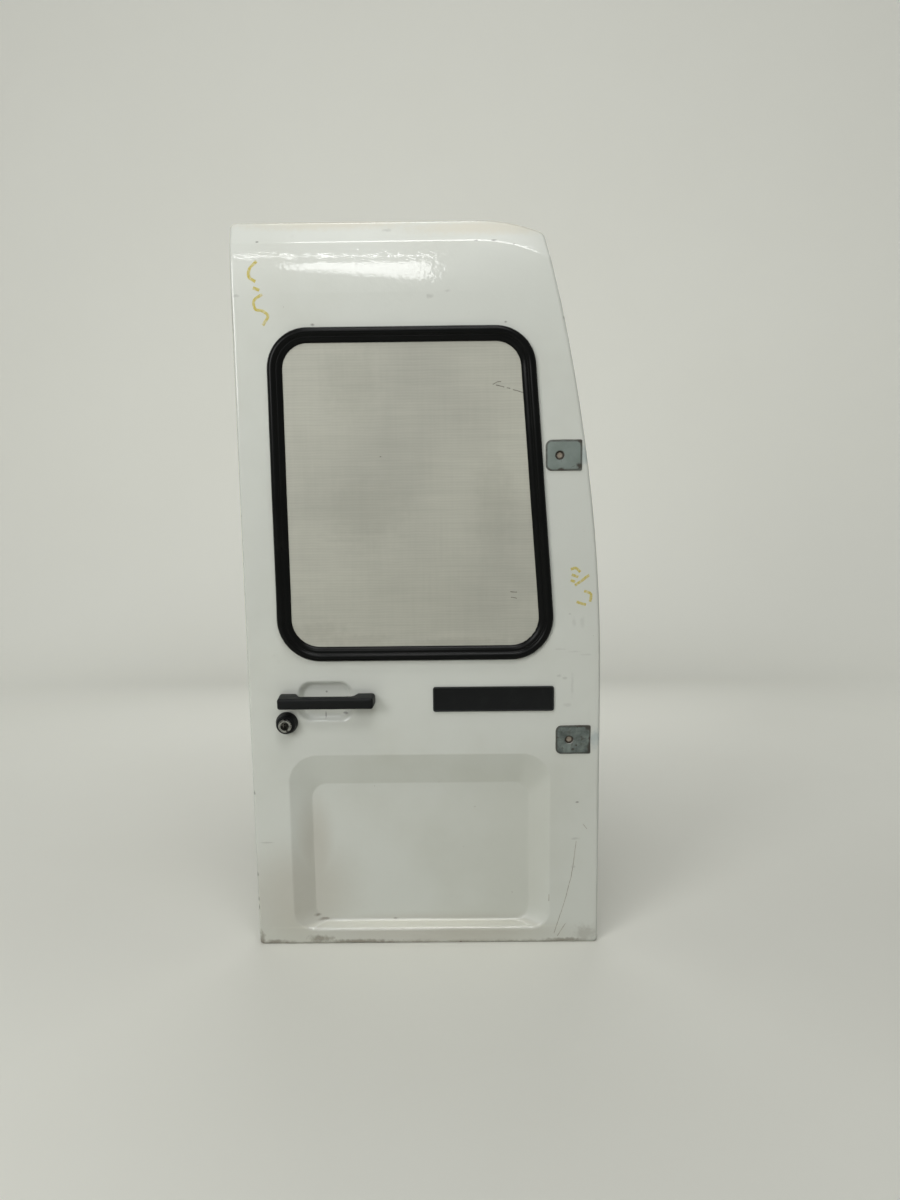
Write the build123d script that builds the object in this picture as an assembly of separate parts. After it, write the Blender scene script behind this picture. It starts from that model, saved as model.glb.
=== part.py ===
from build123d import *
import os
from math import cos, radians, sin, sqrt, tan

# A right-hand rear door of a small van: a pressed steel skin on a pressed inner panel, with a fixed
# window in a rubber seal, a grip over a finger dish, and a push-button lock with a key plug.
# Drawn from the door's lower free corner: x along the width to the hinge side, y from the outer
# face into the door, z up. The finished pieces are moved so that the origin is on the lower hinge seat.

# Driving dimensions, in millimetres and degrees

# Sheet metal and outline
sheet = 1.0
door_width = 587.0
door_height = 1202.0
bow_start = 454.0
bow_radius = 2830.0
crown_setback = 202.0
crown_radius = 280.0
low_corner_radius = 7.0
free_top_radius = 9.0
hinge_top_radius = 16.0
edge_radius = 5.0

# Side section: the face bends in near the top, creases, and ends in a leaning strip
bend_drop = 110.0
bend_radius = 420.0
bend_angle = 10.5
crease_radius = 12.0
strip_angle = 20.0

# Depths of the box behind the outer face
edge_depth = 28.0
inner_depth = 43.0
hem_width = 11.0

# Inner panel: flange, stepped wall and bevelled bend; window frame: sloped wall and welded lip
flange_setback = 1.5
wall_foot = 12.5
wall_head = 20.0
frame_foot = 3.0
frame_head = 24.0
frame_lip = 4.0
inner_corner = 14.0
inner_bend = 5.0

# Access openings in the inner panel, each in a shallow seat
access_low = 96.0
access_high = 322.0
access_free_margin = 112.0
access_hinge_margin = 101.0
access_rib = 56.0
access_corner = 26.0
access_seat = 9.0
access_seat_depth = 3.0
access_seat_slope = 3.0

# Stiffening beads pressed into the inner panel
bead_width = 30.0
bead_depth = 5.0
bead_slope = 6.0
bead_margin = 78.0
header_bead_drop = 100.0
waist_bead_height = 416.0
foot_bead_height = 58.0

# Blanking plugs in round holes of the inner panel
plug_hole_radius = 10.0
plug_cap_radius = 14.0
plug_cap_thickness = 2.0
plug_body_length = 6.0
plug_fit = 0.1
wax_plug_margin = 64.0
wax_plug_height = 122.0

# Window: margins to the seal's outer edge, and how far in the sheet and the pane reach
seal_free_margin = 53.0
seal_hinge_margin_low = 74.0
seal_hinge_margin_high = 112.5
seal_low = 504.0
seal_header = 162.0
seal_top_radius = 64.0
seal_low_radius = 70.0
seal_width = 24.0
seal_lobe = 15.5
seal_front = 9.0
seal_lip = 6.0
seal_lobe_bevel = 4.5
seal_lip_bevel = 3.0
seal_back = 7.0
seal_back_margin = 2.0
sheet_reach = 10.0
pane_reach = 15.0
pane_thickness = 4.0

# Lower recess pressed into the skin
recess_free_margin = 62.0
recess_hinge_margin = 83.0
recess_low = 28.0
recess_high = 341.0
recess_depth = 22.0
recess_side_slope = 35.0
recess_top_slope = 57.0
recess_low_slope = 5.0
recess_high_corner = 48.0
recess_low_corner = 30.0
recess_floor_corner = 26.0
recess_round = 6.0

# Finger dish behind the grip
dish_left = 84.0
dish_right = 173.0
dish_low = 401.0
dish_high = 468.0
dish_depth = 11.0
dish_corner = 20.0
dish_slope = 6.5
dish_round = 4.0

# Grip, its pads and its fixings
grip_left = 53.0
grip_right = 210.0
grip_low = 429.5
grip_high = 447.5
grip_lug_length = 26.0
grip_lug_slope = 8.0
grip_proud = 33.0
grip_bar_thickness = 15.0
grip_corner = 4.0
grip_gap_round = 7.0
grip_bevel = 2.5
grip_draft = 3.0
pad_thickness = 1.5
stud_radius = 3.0
stud_clearance = 0.4
stud_inset = 13.0
stud_length = 16.0
washer_width = 18.0
washer_thickness = 1.6
nut_across = 10.0
nut_height = 5.0

# Lock under the grip's free end
lock_x = 62.5
lock_z = 399.0
boss_base_radius = 18.5
boss_front_radius = 15.5
boss_proud = 17.0
boss_rim = 2.0
shank_radius = 13.0
shank_clearance = 0.3
shank_length = 15.0
ring_nut_radius = 18.0
ring_nut_height = 5.0
button_radius = 11.0
button_clearance = 0.3
button_proud = 6.0
button_length = 34.0
button_travel = 7.0
button_bevel = 1.5
plunger_radius = 4.0
plunger_length = 14.0
key_plug_radius = 7.0
key_plug_clearance = 0.15
key_plug_length = 6.0
key_plug_sunk = 1.0
key_slot_width = 2.2
key_slot_length = 9.0
key_slot_depth = 4.0

# Name plate, left bare
plate_hinge_margin = 77.5
plate_width = 201.5
plate_low = 416.0
plate_height = 42.0
plate_thickness = 3.5
plate_rim = 2.5
plate_sunk = 1.0
plate_corner = 4.0

# Hinge seats: plate, reinforcement with its cage, and floating nut plate
hinge_plate_width = 57.0
hinge_plate_height = 48.0
hinge_plate_thickness = 2.0
hinge_plate_corner = 9.0
hinge_hole_offset = -6.5
hinge_hole_radius = 7.5
upper_hinge_height = 837.0
upper_hinge_setback = 37.5
lower_hinge_height = 365.0
lower_hinge_setback = 45.0
doubler_thickness = 2.5
doubler_width = 36.0
doubler_height = 92.0
nut_plate_width = 28.0
nut_plate_height = 34.0
nut_plate_thickness = 8.0
thread_radius = 3.4
cage_clearance = 0.3
cage_sheet = 1.5
cage_strap = 7.0
cage_foot = 9.0

# Latch on the inner face at the free edge, below the lock
latch_free_margin = 26.0
latch_width = 60.0
latch_drop = 17.0
latch_height = 96.0
latch_depth = 18.0
latch_wall = 2.0
latch_corner = 8.0
latch_mouth = 17.0
latch_mouth_depth = 26.0
fork_radius = 19.0
fork_thickness = 7.0
fork_clearance = 0.3
fork_notch_margin = 2.0
fork_pivot_radius = 5.0
lever_width = 12.0
lever_thickness = 3.0
lever_reach = 15.0
lever_clearance = 0.3
lever_pad_radius = 7.0
lever_pad_thickness = 3.0
lever_stem_radius = 4.0
lever_gap = 1.2
lever_hole_clearance = 4.0

# Room left round cutting shapes, and the closeness that picks out edges
margin = 20.0
tolerance = 0.02

# Places worked out from the driving dimensions

crown_start = door_width - crown_setback
crown_height = door_height - crown_radius
bend_start = door_height - bend_drop
seal_high = door_height - seal_header
recess_right = door_width - recess_hinge_margin
access_right = door_width - access_hinge_margin
access_middle = (access_free_margin + access_right) / 2
plate_right = door_width - plate_hinge_margin
plate_left = plate_right - plate_width
button_face = -boss_proud - button_proud
plunger_tip = button_face + button_length + plunger_length
latch_high = lock_z - latch_drop
latch_low = latch_high - latch_height
latch_back = inner_depth + latch_depth
fork_x = latch_free_margin + latch_wall + fork_radius + fork_clearance
fork_z = latch_low + latch_height / 2


def hinge_edge(height):
    """How far the hinge edge lies from the free edge at a height."""
    rise = max(0.0, height - bow_start)
    return door_width - bow_radius + sqrt(bow_radius**2 - rise**2)


hinge_seats = {
    "upper": (hinge_edge(upper_hinge_height) - upper_hinge_setback, upper_hinge_height),
    "lower": (hinge_edge(lower_hinge_height) - lower_hinge_setback, lower_hinge_height),
}
grip_studs = [
    (place, (grip_low + grip_high) / 2)
    for place in (grip_left + stud_inset, grip_right - stud_inset)
]
plug_places = [
    (wax_plug_margin, wax_plug_height),
    (door_width - wax_plug_margin, wax_plug_height),
    (hinge_seats["lower"][0] + hinge_hole_offset, lower_hinge_height),
]


# Drawing helpers

def at_depth(depth):
    """Upright drawing plane at a depth behind the outer face, seen from outside."""
    return Plane(origin=(0, depth, 0), x_dir=(1, 0, 0), z_dir=(0, -1, 0))


def prism(drawing, front, back):
    """Solid of a front-view drawing between two depths."""
    return extrude(at_depth(front) * drawing, amount=back - front, dir=(0, 1, 0))


def tapered(front_drawing, front, back_drawing, back):
    """Solid that runs straight from one front-view drawing to another of the same corners."""
    faces = [(at_depth(front) * front_drawing).face(), (at_depth(back) * back_drawing).face()]
    return loft(faces, ruled=True)


def panel(left, low, right, high, radius=0.0):
    """Front-view rectangle between two corners, rounded where a radius is given."""
    width = right - left
    height = high - low
    shape = RectangleRounded(width, height, radius) if radius else Rectangle(width, height)
    return Pos((left + right) / 2, (low + high) / 2) * shape


def plate_at(x, z, width, height):
    """Front-view rectangle about a centre."""
    return Pos(x, z) * Rectangle(width, height)


def disc(x, z, radius):
    """Front-view circle about a centre."""
    return Pos(x, z) * Circle(radius)


def round_corner(drawing, point, radius):
    """Round the corner of a drawing that lies nearest to a point."""
    corner = drawing.vertices().sort_by_distance(point)[0]
    return fillet(corner, radius)


def drawn_in(drawing, inset):
    """A drawing moved in by an even inset, or out where the inset is negative."""
    return offset(drawing, amount=-inset, kind=Kind.INTERSECTION) if inset else drawing


def turned(section, x, z):
    """Solid turned about an axis that runs into the door, from a half section of radius and depth."""
    flat = Plane(origin=(x, 0, z), x_dir=(1, 0, 0), z_dir=(0, 0, 1))
    return revolve(flat * make_face(Polyline(*section, close=True)), axis=Axis((x, 0, z), (0, 1, 0)))


def flat_edges_in(form, outline, depth):
    """Edges of a form that lie flat at a depth, on or within a front-view outline."""
    reach = prism(drawn_in(outline, -tolerance), depth - tolerance, depth + tolerance)

    def chosen(edge):
        level = edge.bounding_box().size.Y < tolerance
        return level and reach.is_inside(edge.position_at(0.5))

    return form.edges().filter_by(chosen)


# Outline and outer form of the door

def right_crossing(centre_a, radius_a, centre_b, radius_b):
    """The upper right point where two circles cross."""
    gap = centre_b - centre_a
    along = (radius_a**2 - radius_b**2 + gap.length**2) / (2 * gap.length)
    aside = sqrt(radius_a**2 - along**2)
    way = gap.normalized()
    foot = centre_a + way * along
    across = Vector(-way.Y, way.X) * aside
    return max((foot + across, foot - across), key=lambda point: point.X + point.Y)


def on_circle(centre, radius, point):
    """The point of a circle that lies towards another point."""
    return centre + (point - centre).normalized() * radius


def door_outline(inset=0.0, corner=None):
    """Front outline drawn in by an inset: straight free and lower edges, bowed hinge edge, crowned top."""
    bow_centre = Vector(door_width - bow_radius, bow_start)
    crown_centre = Vector(crown_start, crown_height)
    bow = bow_radius - inset
    crown = crown_radius - inset
    top_corner = right_crossing(bow_centre, bow, crown_centre, crown)
    bow_foot = bow_centre + Vector(bow, 0)
    crown_foot = crown_centre + Vector(0, crown)
    bow_middle = on_circle(bow_centre, bow, (bow_foot + top_corner) / 2)
    crown_middle = on_circle(crown_centre, crown, (crown_foot + top_corner) / 2)
    free_low = Vector(inset, inset)
    hinge_low = Vector(door_width - inset, inset)
    free_top = Vector(inset, door_height - inset)
    outline = make_face([
        Line(free_low, hinge_low),
        Line(hinge_low, bow_foot),
        ThreePointArc(bow_foot, bow_middle, top_corner),
        ThreePointArc(top_corner, crown_middle, crown_foot),
        Line(crown_foot, free_top),
        Line(free_top, free_low),
    ])
    outline = round_corner(outline, free_low, corner or low_corner_radius - inset)
    outline = round_corner(outline, hinge_low, corner or low_corner_radius - inset)
    outline = round_corner(outline, free_top, corner or free_top_radius - inset)
    return round_corner(outline, top_corner, corner or hinge_top_radius - inset)


def side_section(inset, back):
    """Side view of the form behind the outer face: flat, bend, crease and leaning top strip."""

    def leaning(angle):
        return Vector(-cos(radians(angle)), sin(radians(angle)))

    bend = bend_radius - inset
    crease = crease_radius - inset
    bend_centre = Vector(bend_radius, bend_start)
    crease_centre = bend_centre + leaning(bend_angle) * (bend_radius - crease_radius)
    bend_middle = bend_centre + leaning(bend_angle / 2) * bend
    bend_end = bend_centre + leaning(bend_angle) * bend
    crease_middle = crease_centre + leaning((bend_angle + strip_angle) / 2) * crease
    crease_end = crease_centre + leaning(strip_angle) * crease
    rise = door_height + edge_radius - crease_end.Y
    strip_end = crease_end + Vector(rise * tan(radians(strip_angle)), rise)
    foot = Vector(inset, -margin)
    bend_foot = Vector(inset, bend_start)
    back_top = Vector(back, strip_end.Y)
    back_foot = Vector(back, -margin)
    return make_face([
        Line(foot, bend_foot),
        ThreePointArc(bend_foot, bend_middle, bend_end),
        ThreePointArc(bend_end, crease_middle, crease_end),
        Line(crease_end, strip_end),
        Line(strip_end, back_top),
        Line(back_top, back_foot),
        Line(back_foot, foot),
    ])


def rim_edges(form, inset, back):
    """Edges where the outer face of the form meets its side walls."""
    rim = door_outline(inset).face().outer_wire()

    def on_rim(edge):
        middle = edge.position_at(0.5)
        deepest = max(edge.position_at(place).Y for place in (0, 0.5, 1))
        return deepest < back - tolerance and rim.distance_to(Vertex(middle.X, middle.Z, 0)) < tolerance

    return form.edges().filter_by(on_rim)


def door_form(inset, back):
    """Closed form behind the outer face, drawn in by an inset at the face and at the edges."""
    section = side_section(inset, back)
    upper = section & panel(-margin, crown_height, back + margin, door_height + margin)
    straight = extrude(Plane.YZ.offset(-margin) * section, amount=crown_start + margin)
    crown_axis = Axis((crown_start, 0, crown_height), (0, 1, 0))
    crown = revolve(Plane.YZ.offset(crown_start) * upper, axis=crown_axis, revolution_arc=90)
    lower = prism(panel(crown_start, -margin, door_width + margin, crown_height), inset, back)
    form = (straight + crown + lower) & prism(door_outline(inset), -margin, back)
    return fillet(rim_edges(form, inset, back), edge_radius - inset)


# Pressed pockets

def pressing(mouth, floor, depth, floor_round, grow):
    """Pocket from a mouth in the outer face to a rounded floor, grown all round by a sheet thickness."""
    pocket = tapered(drawn_in(mouth, -grow), 0, drawn_in(floor, -grow), depth + grow)
    return fillet(pocket.faces().sort_by(Axis.Y)[-1].edges(), floor_round + grow)


def recess_mouth():
    """Mouth of the lower recess, with larger corners at the top."""
    mouth = panel(recess_free_margin, recess_low, recess_right, recess_high)
    for x in (recess_free_margin, recess_right):
        mouth = round_corner(mouth, (x, recess_low), recess_low_corner)
        mouth = round_corner(mouth, (x, recess_high), recess_high_corner)
    return mouth


def recess_floor():
    """Floor of the lower recess: wide slopes at the top and sides, a steep ledge at the bottom."""
    left = recess_free_margin + recess_side_slope
    right = recess_right - recess_side_slope
    low = recess_low + recess_low_slope
    high = recess_high - recess_top_slope
    floor = panel(left, low, right, high)
    for x in (left, right):
        for z in (low, high):
            floor = round_corner(floor, (x, z), recess_floor_corner)
    return floor


def dish_drawing(inset=0.0):
    """Finger dish behind the grip, drawn in."""
    corner = dish_corner - inset / 2
    return panel(dish_left + inset, dish_low + inset, dish_right - inset, dish_high - inset, corner)


def pressed_form(inset, back):
    """The door's form with the recess and the dish pressed in and their mouths rounded."""
    form = door_form(inset, back)
    form -= pressing(recess_mouth(), recess_floor(), recess_depth, recess_round, inset)
    form -= pressing(dish_drawing(), dish_drawing(dish_slope), dish_depth, dish_round, inset)
    for mouth, rounding in ((recess_mouth(), recess_round), (dish_drawing(), dish_round)):
        edges = flat_edges_in(form, drawn_in(mouth, -2 * inset), inset)
        form = fillet(edges, rounding - inset)
    return form


# Window outline

def window_outline(inset=0.0):
    """Outer edge of the window seal, drawn in."""
    hinge_low = (door_width - seal_hinge_margin_low, seal_low)
    hinge_high = (door_width - seal_hinge_margin_high, seal_high)
    free_low = (seal_free_margin, seal_low)
    free_high = (seal_free_margin, seal_high)
    outline = make_face(Polyline(free_low, hinge_low, hinge_high, free_high, close=True))
    for corner in (free_low, hinge_low):
        outline = round_corner(outline, corner, seal_low_radius)
    for corner in (free_high, hinge_high):
        outline = round_corner(outline, corner, seal_top_radius)
    return drawn_in(outline, inset)


def window_ring(outer, inner, front, back):
    """Ring along the window between two insets and two depths."""
    return prism(window_outline(outer) - window_outline(inner), front, back)


# Sheet metal

def outer_skin():
    """Pressed skin with rolled edges, an inturned hem, the recess, the dish and the cut-outs."""
    skin = pressed_form(0, edge_depth) - pressed_form(sheet, edge_depth - sheet)
    skin -= prism(door_outline(hem_width, inner_corner), edge_depth - 2 * sheet, edge_depth + margin)
    skin -= prism(window_outline(sheet_reach), -margin, margin)
    holes = [(x + hinge_hole_offset, z, hinge_hole_radius) for x, z in hinge_seats.values()]
    holes += [(x, z, stud_radius + stud_clearance) for x, z in grip_studs]
    holes.append((lock_x, lock_z, shank_radius + shank_clearance))
    for x, z, radius in holes:
        skin -= prism(disc(x, z, radius), -margin, 2 * sheet)
    return skin


def access_drawings():
    """The two access openings, either side of the middle rib."""
    edges = [
        (access_free_margin, access_middle - access_rib / 2),
        (access_middle + access_rib / 2, access_right),
    ]
    return [panel(left, access_low, right, access_high, access_corner) for left, right in edges]


def bead_drawings(inset=0.0):
    """Long beads over the window, at the waist and at the foot, and the short one on the middle rib."""
    width = bead_width - 2 * inset
    beads = []
    for left, right, height in (
        (bead_margin, crown_start, door_height - header_bead_drop),
        (access_free_margin, access_right, waist_bead_height),
        (bead_margin, door_width - bead_margin, foot_bead_height),
    ):
        length = right - left - 2 * inset
        beads.append(Pos((left + right) / 2, height) * SlotOverall(length, width))
    length = access_high - access_low - 2 * inset
    beads.append(Pos(access_middle, (access_low + access_high) / 2) * Rot(0, 0, 90) * SlotOverall(length, width))
    return beads


def inner_form(inset):
    """Form of the inner panel's box, with beads and opening seats pressed in, drawn in by an inset."""
    back = inner_depth - inset
    corner = inner_corner - inset
    shoulder = door_outline(wall_head + inset, corner)
    form = tapered(door_outline(wall_foot + inset, corner), edge_depth, shoulder, back - inner_bend)
    form += tapered(shoulder, back - inner_bend, door_outline(wall_head + inner_bend + inset, corner), back)
    for mouth, floor in zip(bead_drawings(), bead_drawings(bead_slope)):
        form -= tapered(drawn_in(floor, -inset), back - bead_depth, drawn_in(mouth, -inset), inner_depth)
    for opening in access_drawings():
        floor = drawn_in(opening, -access_seat)
        mouth = drawn_in(opening, -access_seat - access_seat_slope)
        form -= tapered(drawn_in(floor, -inset), back - access_seat_depth, drawn_in(mouth, -inset), inner_depth)
    return form


def inner_panel():
    """Pressed inner panel: edge flange, stepped wall, beaded face, and openings for window, hands and plugs."""
    body = inner_form(0) - inner_form(sheet)
    flange = door_outline(flange_setback) - door_outline(wall_foot + sheet, inner_corner - sheet)
    body += prism(flange, edge_depth, edge_depth + sheet)
    holes = access_drawings() + [disc(x, z, plug_hole_radius) for x, z in plug_places]
    holes.append(disc(lock_x, lock_z, lever_pad_radius + lever_hole_clearance))
    holes.append(window_outline(-frame_head))
    for hole in holes:
        body -= prism(hole, edge_depth + margin / 4, inner_depth + margin)
    return body


def window_passage(inset):
    """Passage through the window frame, from the skin's edge to the wider inner face, drawn in."""
    throat = window_outline(inset - frame_foot)
    mouth = window_outline(inset - frame_head)
    return tapered(throat, sheet, mouth, inner_depth + sheet)


def window_frame():
    """Pressed frame round the window: foot on the skin, sloped wall, and lip on the inner panel."""
    wall = window_passage(0) - window_passage(sheet)
    foot = window_ring(-frame_foot, sheet_reach, sheet, 2 * sheet)
    lip = window_ring(-frame_head - frame_lip, sheet - frame_head, inner_depth, inner_depth + sheet)
    return wall + foot + lip


def blanking_plugs():
    """Rubber plugs pressed into the round holes of the inner panel."""
    body_radius = plug_hole_radius - plug_fit
    section = [
        (0, inner_depth - plug_body_length),
        (body_radius, inner_depth - plug_body_length),
        (body_radius, inner_depth),
        (plug_cap_radius, inner_depth),
        (plug_hole_radius, inner_depth + plug_cap_thickness),
        (0, inner_depth + plug_cap_thickness),
    ]
    return Compound(children=[turned(section, x, z) for x, z in plug_places])


# Hinge seats

def hinge_plate(x, z):
    """Thin hinge seat: rounded towards the window, square towards the door's edge."""
    drawing = plate_at(x, z, hinge_plate_width, hinge_plate_height)
    for side in (-1, 1):
        corner = (x - hinge_plate_width / 2, z + side * hinge_plate_height / 2)
        drawing = round_corner(drawing, corner, hinge_plate_corner)
    return prism(drawing - disc(x + hinge_hole_offset, z, hinge_hole_radius), -hinge_plate_thickness, 0)


def hinge_doubler(x, z):
    """Reinforcement behind the skin, with two straps that cage the nut plate."""
    bolt_x = x + hinge_hole_offset
    back = sheet + doubler_thickness
    cage_half = nut_plate_height / 2 + cage_clearance
    cage_back = back + nut_plate_thickness + cage_clearance
    outer_half = cage_half + cage_sheet
    foot_half = outer_half + cage_foot
    drawing = plate_at(bolt_x, z, doubler_width, doubler_height) - disc(bolt_x, z, hinge_hole_radius)
    doubler = prism(drawing, sheet, back)
    for side in (-1, 1):
        strap_x = bolt_x + side * (nut_plate_width - cage_strap) / 2
        strap = prism(plate_at(strap_x, z, cage_strap, 2 * foot_half), back, back + cage_sheet)
        strap += prism(plate_at(strap_x, z, cage_strap, 2 * outer_half), back, cage_back + cage_sheet)
        strap -= prism(plate_at(strap_x, z, cage_strap, 2 * cage_half), back, cage_back)
        doubler += strap
    return doubler


def hinge_nut_plate(x, z):
    """Floating nut plate that the hinge bolt screws into."""
    bolt_x = x + hinge_hole_offset
    front = sheet + doubler_thickness
    drawing = plate_at(bolt_x, z, nut_plate_width, nut_plate_height) - disc(bolt_x, z, thread_radius)
    return prism(drawing, front, front + nut_plate_thickness)


# Window

def window_seal():
    """Rubber seal with a lobed face, gripping the sheet edge on one side and the pane on the other."""
    lobe = window_ring(0, seal_lobe, -seal_front, 0)
    lobe = chamfer(flat_edges_in(lobe, window_outline(), -seal_front), seal_lobe_bevel)
    lip = window_ring(seal_lobe - seal_lobe_bevel, seal_width, -seal_lip, 0)
    inner_edges = flat_edges_in(lip, window_outline(seal_width), -seal_lip)
    lip = chamfer(inner_edges, seal_lip_bevel)
    grip_back = 2 * sheet
    back = grip_back + seal_back
    web = window_ring(sheet_reach, pane_reach, 0, back)
    sheet_lip = window_ring(seal_back_margin, sheet_reach, grip_back, back)
    pane_lip = window_ring(pane_reach, seal_width - seal_back_margin, pane_thickness, back)
    return lobe + lip + web + sheet_lip + pane_lip


def window_pane():
    """Flat pane held in the seal."""
    return prism(window_outline(pane_reach), 0, pane_thickness)


# Grip and its fixings

def handle_grip():
    """Bridge grip: one bar of even height, drafted towards the door, hollowed behind between two lugs."""
    outline = panel(grip_left, grip_low, grip_right, grip_high, grip_corner)
    spread = (grip_proud - pad_thickness) * tan(radians(grip_draft))
    grip = tapered(outline, -grip_proud, drawn_in(outline, -spread), -pad_thickness)
    bar_back = -grip_proud + grip_bar_thickness
    lug_left = grip_left + grip_lug_length
    lug_right = grip_right - grip_lug_length
    gap = make_face(Polyline(
        (lug_left, 0),
        (lug_left + grip_lug_slope, bar_back),
        (lug_right - grip_lug_slope, bar_back),
        (lug_right, 0),
        close=True,
    ))
    for x in (lug_left + grip_lug_slope, lug_right - grip_lug_slope):
        gap = round_corner(gap, (x, bar_back), grip_gap_round)
    grip -= extrude(Plane.XY * gap, amount=door_height)
    return chamfer(flat_edges_in(grip, outline, -grip_proud), grip_bevel)


def handle_pads():
    """Rubber pad under each lug."""
    pads = []
    lug_lefts = (grip_left, grip_right - grip_lug_length)
    for left, (stud_x, stud_z) in zip(lug_lefts, grip_studs):
        drawing = panel(left, grip_low, left + grip_lug_length, grip_high)
        drawing -= disc(stud_x, stud_z, stud_radius + stud_clearance)
        pads.append(prism(drawing, -pad_thickness, 0))
    return Compound(children=pads)


def handle_fixings():
    """Stud, square washer and nut that hold each lug from inside."""
    fixings = []
    washer_back = sheet + washer_thickness
    for x, z in grip_studs:
        nut = Pos(x, z) * RegularPolygon(nut_across / 2, 6, major_radius=False)
        fixing = prism(disc(x, z, stud_radius), -pad_thickness, stud_length)
        fixing += prism(plate_at(x, z, washer_width, washer_width), sheet, washer_back)
        fixing += prism(nut, washer_back, washer_back + nut_height)
        fixings.append(fixing)
    return Compound(children=fixings)


# Lock

def lock_housing():
    """Tapered boss with a bevelled rim, and the threaded shank that passes through the skin."""
    bore = button_radius + button_clearance
    return turned([
        (bore, -boss_proud),
        (boss_front_radius - boss_rim, -boss_proud),
        (boss_front_radius, -boss_proud + boss_rim),
        (boss_base_radius, -boss_rim),
        (boss_base_radius, 0),
        (shank_radius, 0),
        (shank_radius, shank_length),
        (bore, shank_length),
    ], lock_x, lock_z)


def lock_ring_nut():
    """Ring nut that clamps the boss to the skin from inside."""
    ring = Pos(lock_x, lock_z) * (RegularPolygon(ring_nut_radius, 6) - Circle(shank_radius))
    return prism(ring, sheet, sheet + ring_nut_height)


def lock_button():
    """Push button with a bevelled face, a bore for the key plug and a plunger behind."""
    bore = key_plug_radius + key_plug_clearance
    bore_floor = button_face + key_plug_sunk + key_plug_length + key_plug_clearance
    body_back = button_face + button_length
    return turned([
        (bore, button_face),
        (button_radius - button_bevel, button_face),
        (button_radius, button_face + button_bevel),
        (button_radius, body_back),
        (plunger_radius, body_back),
        (plunger_radius, plunger_tip),
        (0, plunger_tip),
        (0, bore_floor),
        (bore, bore_floor),
    ], lock_x, lock_z)


def key_plug():
    """Key plug with its upright slot."""
    front = button_face + key_plug_sunk
    plug = prism(disc(lock_x, lock_z, key_plug_radius), front, front + key_plug_length)
    return plug - prism(plate_at(lock_x, lock_z, key_slot_width, key_slot_length), front, front + key_slot_depth)


# Name plate

def name_plate():
    """Bare moulded plate with a raised rim."""
    outline = panel(plate_left, plate_low, plate_right, plate_low + plate_height, plate_corner)
    plate = prism(outline, -plate_thickness, 0)
    return plate - prism(drawn_in(outline, plate_rim), -plate_thickness, -plate_thickness + plate_sunk)


# Latch

def latch_case():
    """Folded steel case, open at the mouth that takes the striker and slotted for the lever."""
    right = latch_free_margin + latch_width
    outline = panel(latch_free_margin, latch_low, right, latch_high, latch_corner)
    case = prism(outline, inner_depth, latch_back)
    case -= prism(drawn_in(outline, latch_wall), inner_depth + latch_wall, latch_back - latch_wall)
    mouth_end = latch_free_margin + latch_mouth_depth
    mouth = panel(-margin, fork_z - latch_mouth / 2, mouth_end, fork_z + latch_mouth / 2)
    case -= prism(mouth, inner_depth + latch_wall, latch_back + margin)
    front, back = lever_depths()
    slot = plate_at(lock_x, latch_high, lever_width + 2 * lever_clearance, margin)
    return case - prism(slot, front - lever_clearance, back + lever_clearance)


def latch_fork():
    """Forked cam on its pivot, with the notch that closes round the striker."""
    front = inner_depth + latch_wall + fork_clearance
    notch_half = latch_mouth / 2 - fork_notch_margin
    notch = panel(-margin, fork_z - notch_half, fork_x - fork_pivot_radius, fork_z + notch_half)
    fork = prism(disc(fork_x, fork_z, fork_radius) - notch, front, front + fork_thickness)
    pivot_front = inner_depth + latch_wall
    return fork + prism(disc(fork_x, fork_z, fork_pivot_radius), pivot_front, latch_back - latch_wall)


def lever_depths():
    """Front and back of the release lever, in the middle of the latch case."""
    middle = (inner_depth + latch_back) / 2
    return middle - lever_thickness / 2, middle + lever_thickness / 2


def latch_lever():
    """Release lever that rises out of the latch, with the pad that the plunger pushes."""
    front, back = lever_depths()
    pad_front = plunger_tip + button_travel + lever_gap
    low = latch_high - lever_reach
    bar = panel(lock_x - lever_width / 2, low, lock_x + lever_width / 2, lock_z + lever_width / 2)
    lever = prism(bar, front, back)
    lever += prism(disc(lock_x, lock_z, lever_stem_radius), pad_front, front)
    return lever + prism(disc(lock_x, lock_z, lever_pad_radius), pad_front, pad_front + lever_pad_thickness)


# Placing and writing

def build_parts():
    """Every piece by its node name, in the drawing frame."""
    parts = {
        "outer_skin": outer_skin(),
        "inner_panel": inner_panel(),
        "window_frame": window_frame(),
        "blanking_plugs": blanking_plugs(),
        "window_seal": window_seal(),
        "window_pane": window_pane(),
        "handle_grip": handle_grip(),
        "handle_pads": handle_pads(),
        "handle_fixings": handle_fixings(),
        "lock_housing": lock_housing(),
        "lock_ring_nut": lock_ring_nut(),
        "lock_button": lock_button(),
        "key_plug": key_plug(),
        "name_plate": name_plate(),
        "latch_case": latch_case(),
        "latch_fork": latch_fork(),
        "latch_lever": latch_lever(),
    }
    for name, (x, z) in hinge_seats.items():
        parts[name + "_hinge_plate"] = hinge_plate(x, z)
        parts[name + "_hinge_doubler"] = hinge_doubler(x, z)
        parts[name + "_hinge_nut_plate"] = hinge_nut_plate(x, z)
    return parts


def main():
    lower_x, lower_z = hinge_seats["lower"]
    to_lower_seat = Pos(-lower_x, hinge_plate_thickness, -lower_z)
    os.makedirs("parts", exist_ok=True)
    for name, piece in build_parts().items():
        export_step(to_lower_seat * piece, "parts/" + name + ".step")


main()
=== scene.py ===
import math

import bmesh
import bpy
from bpy.props import FloatProperty, FloatVectorProperty, PointerProperty
from mathutils import Matrix, Vector


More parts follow.
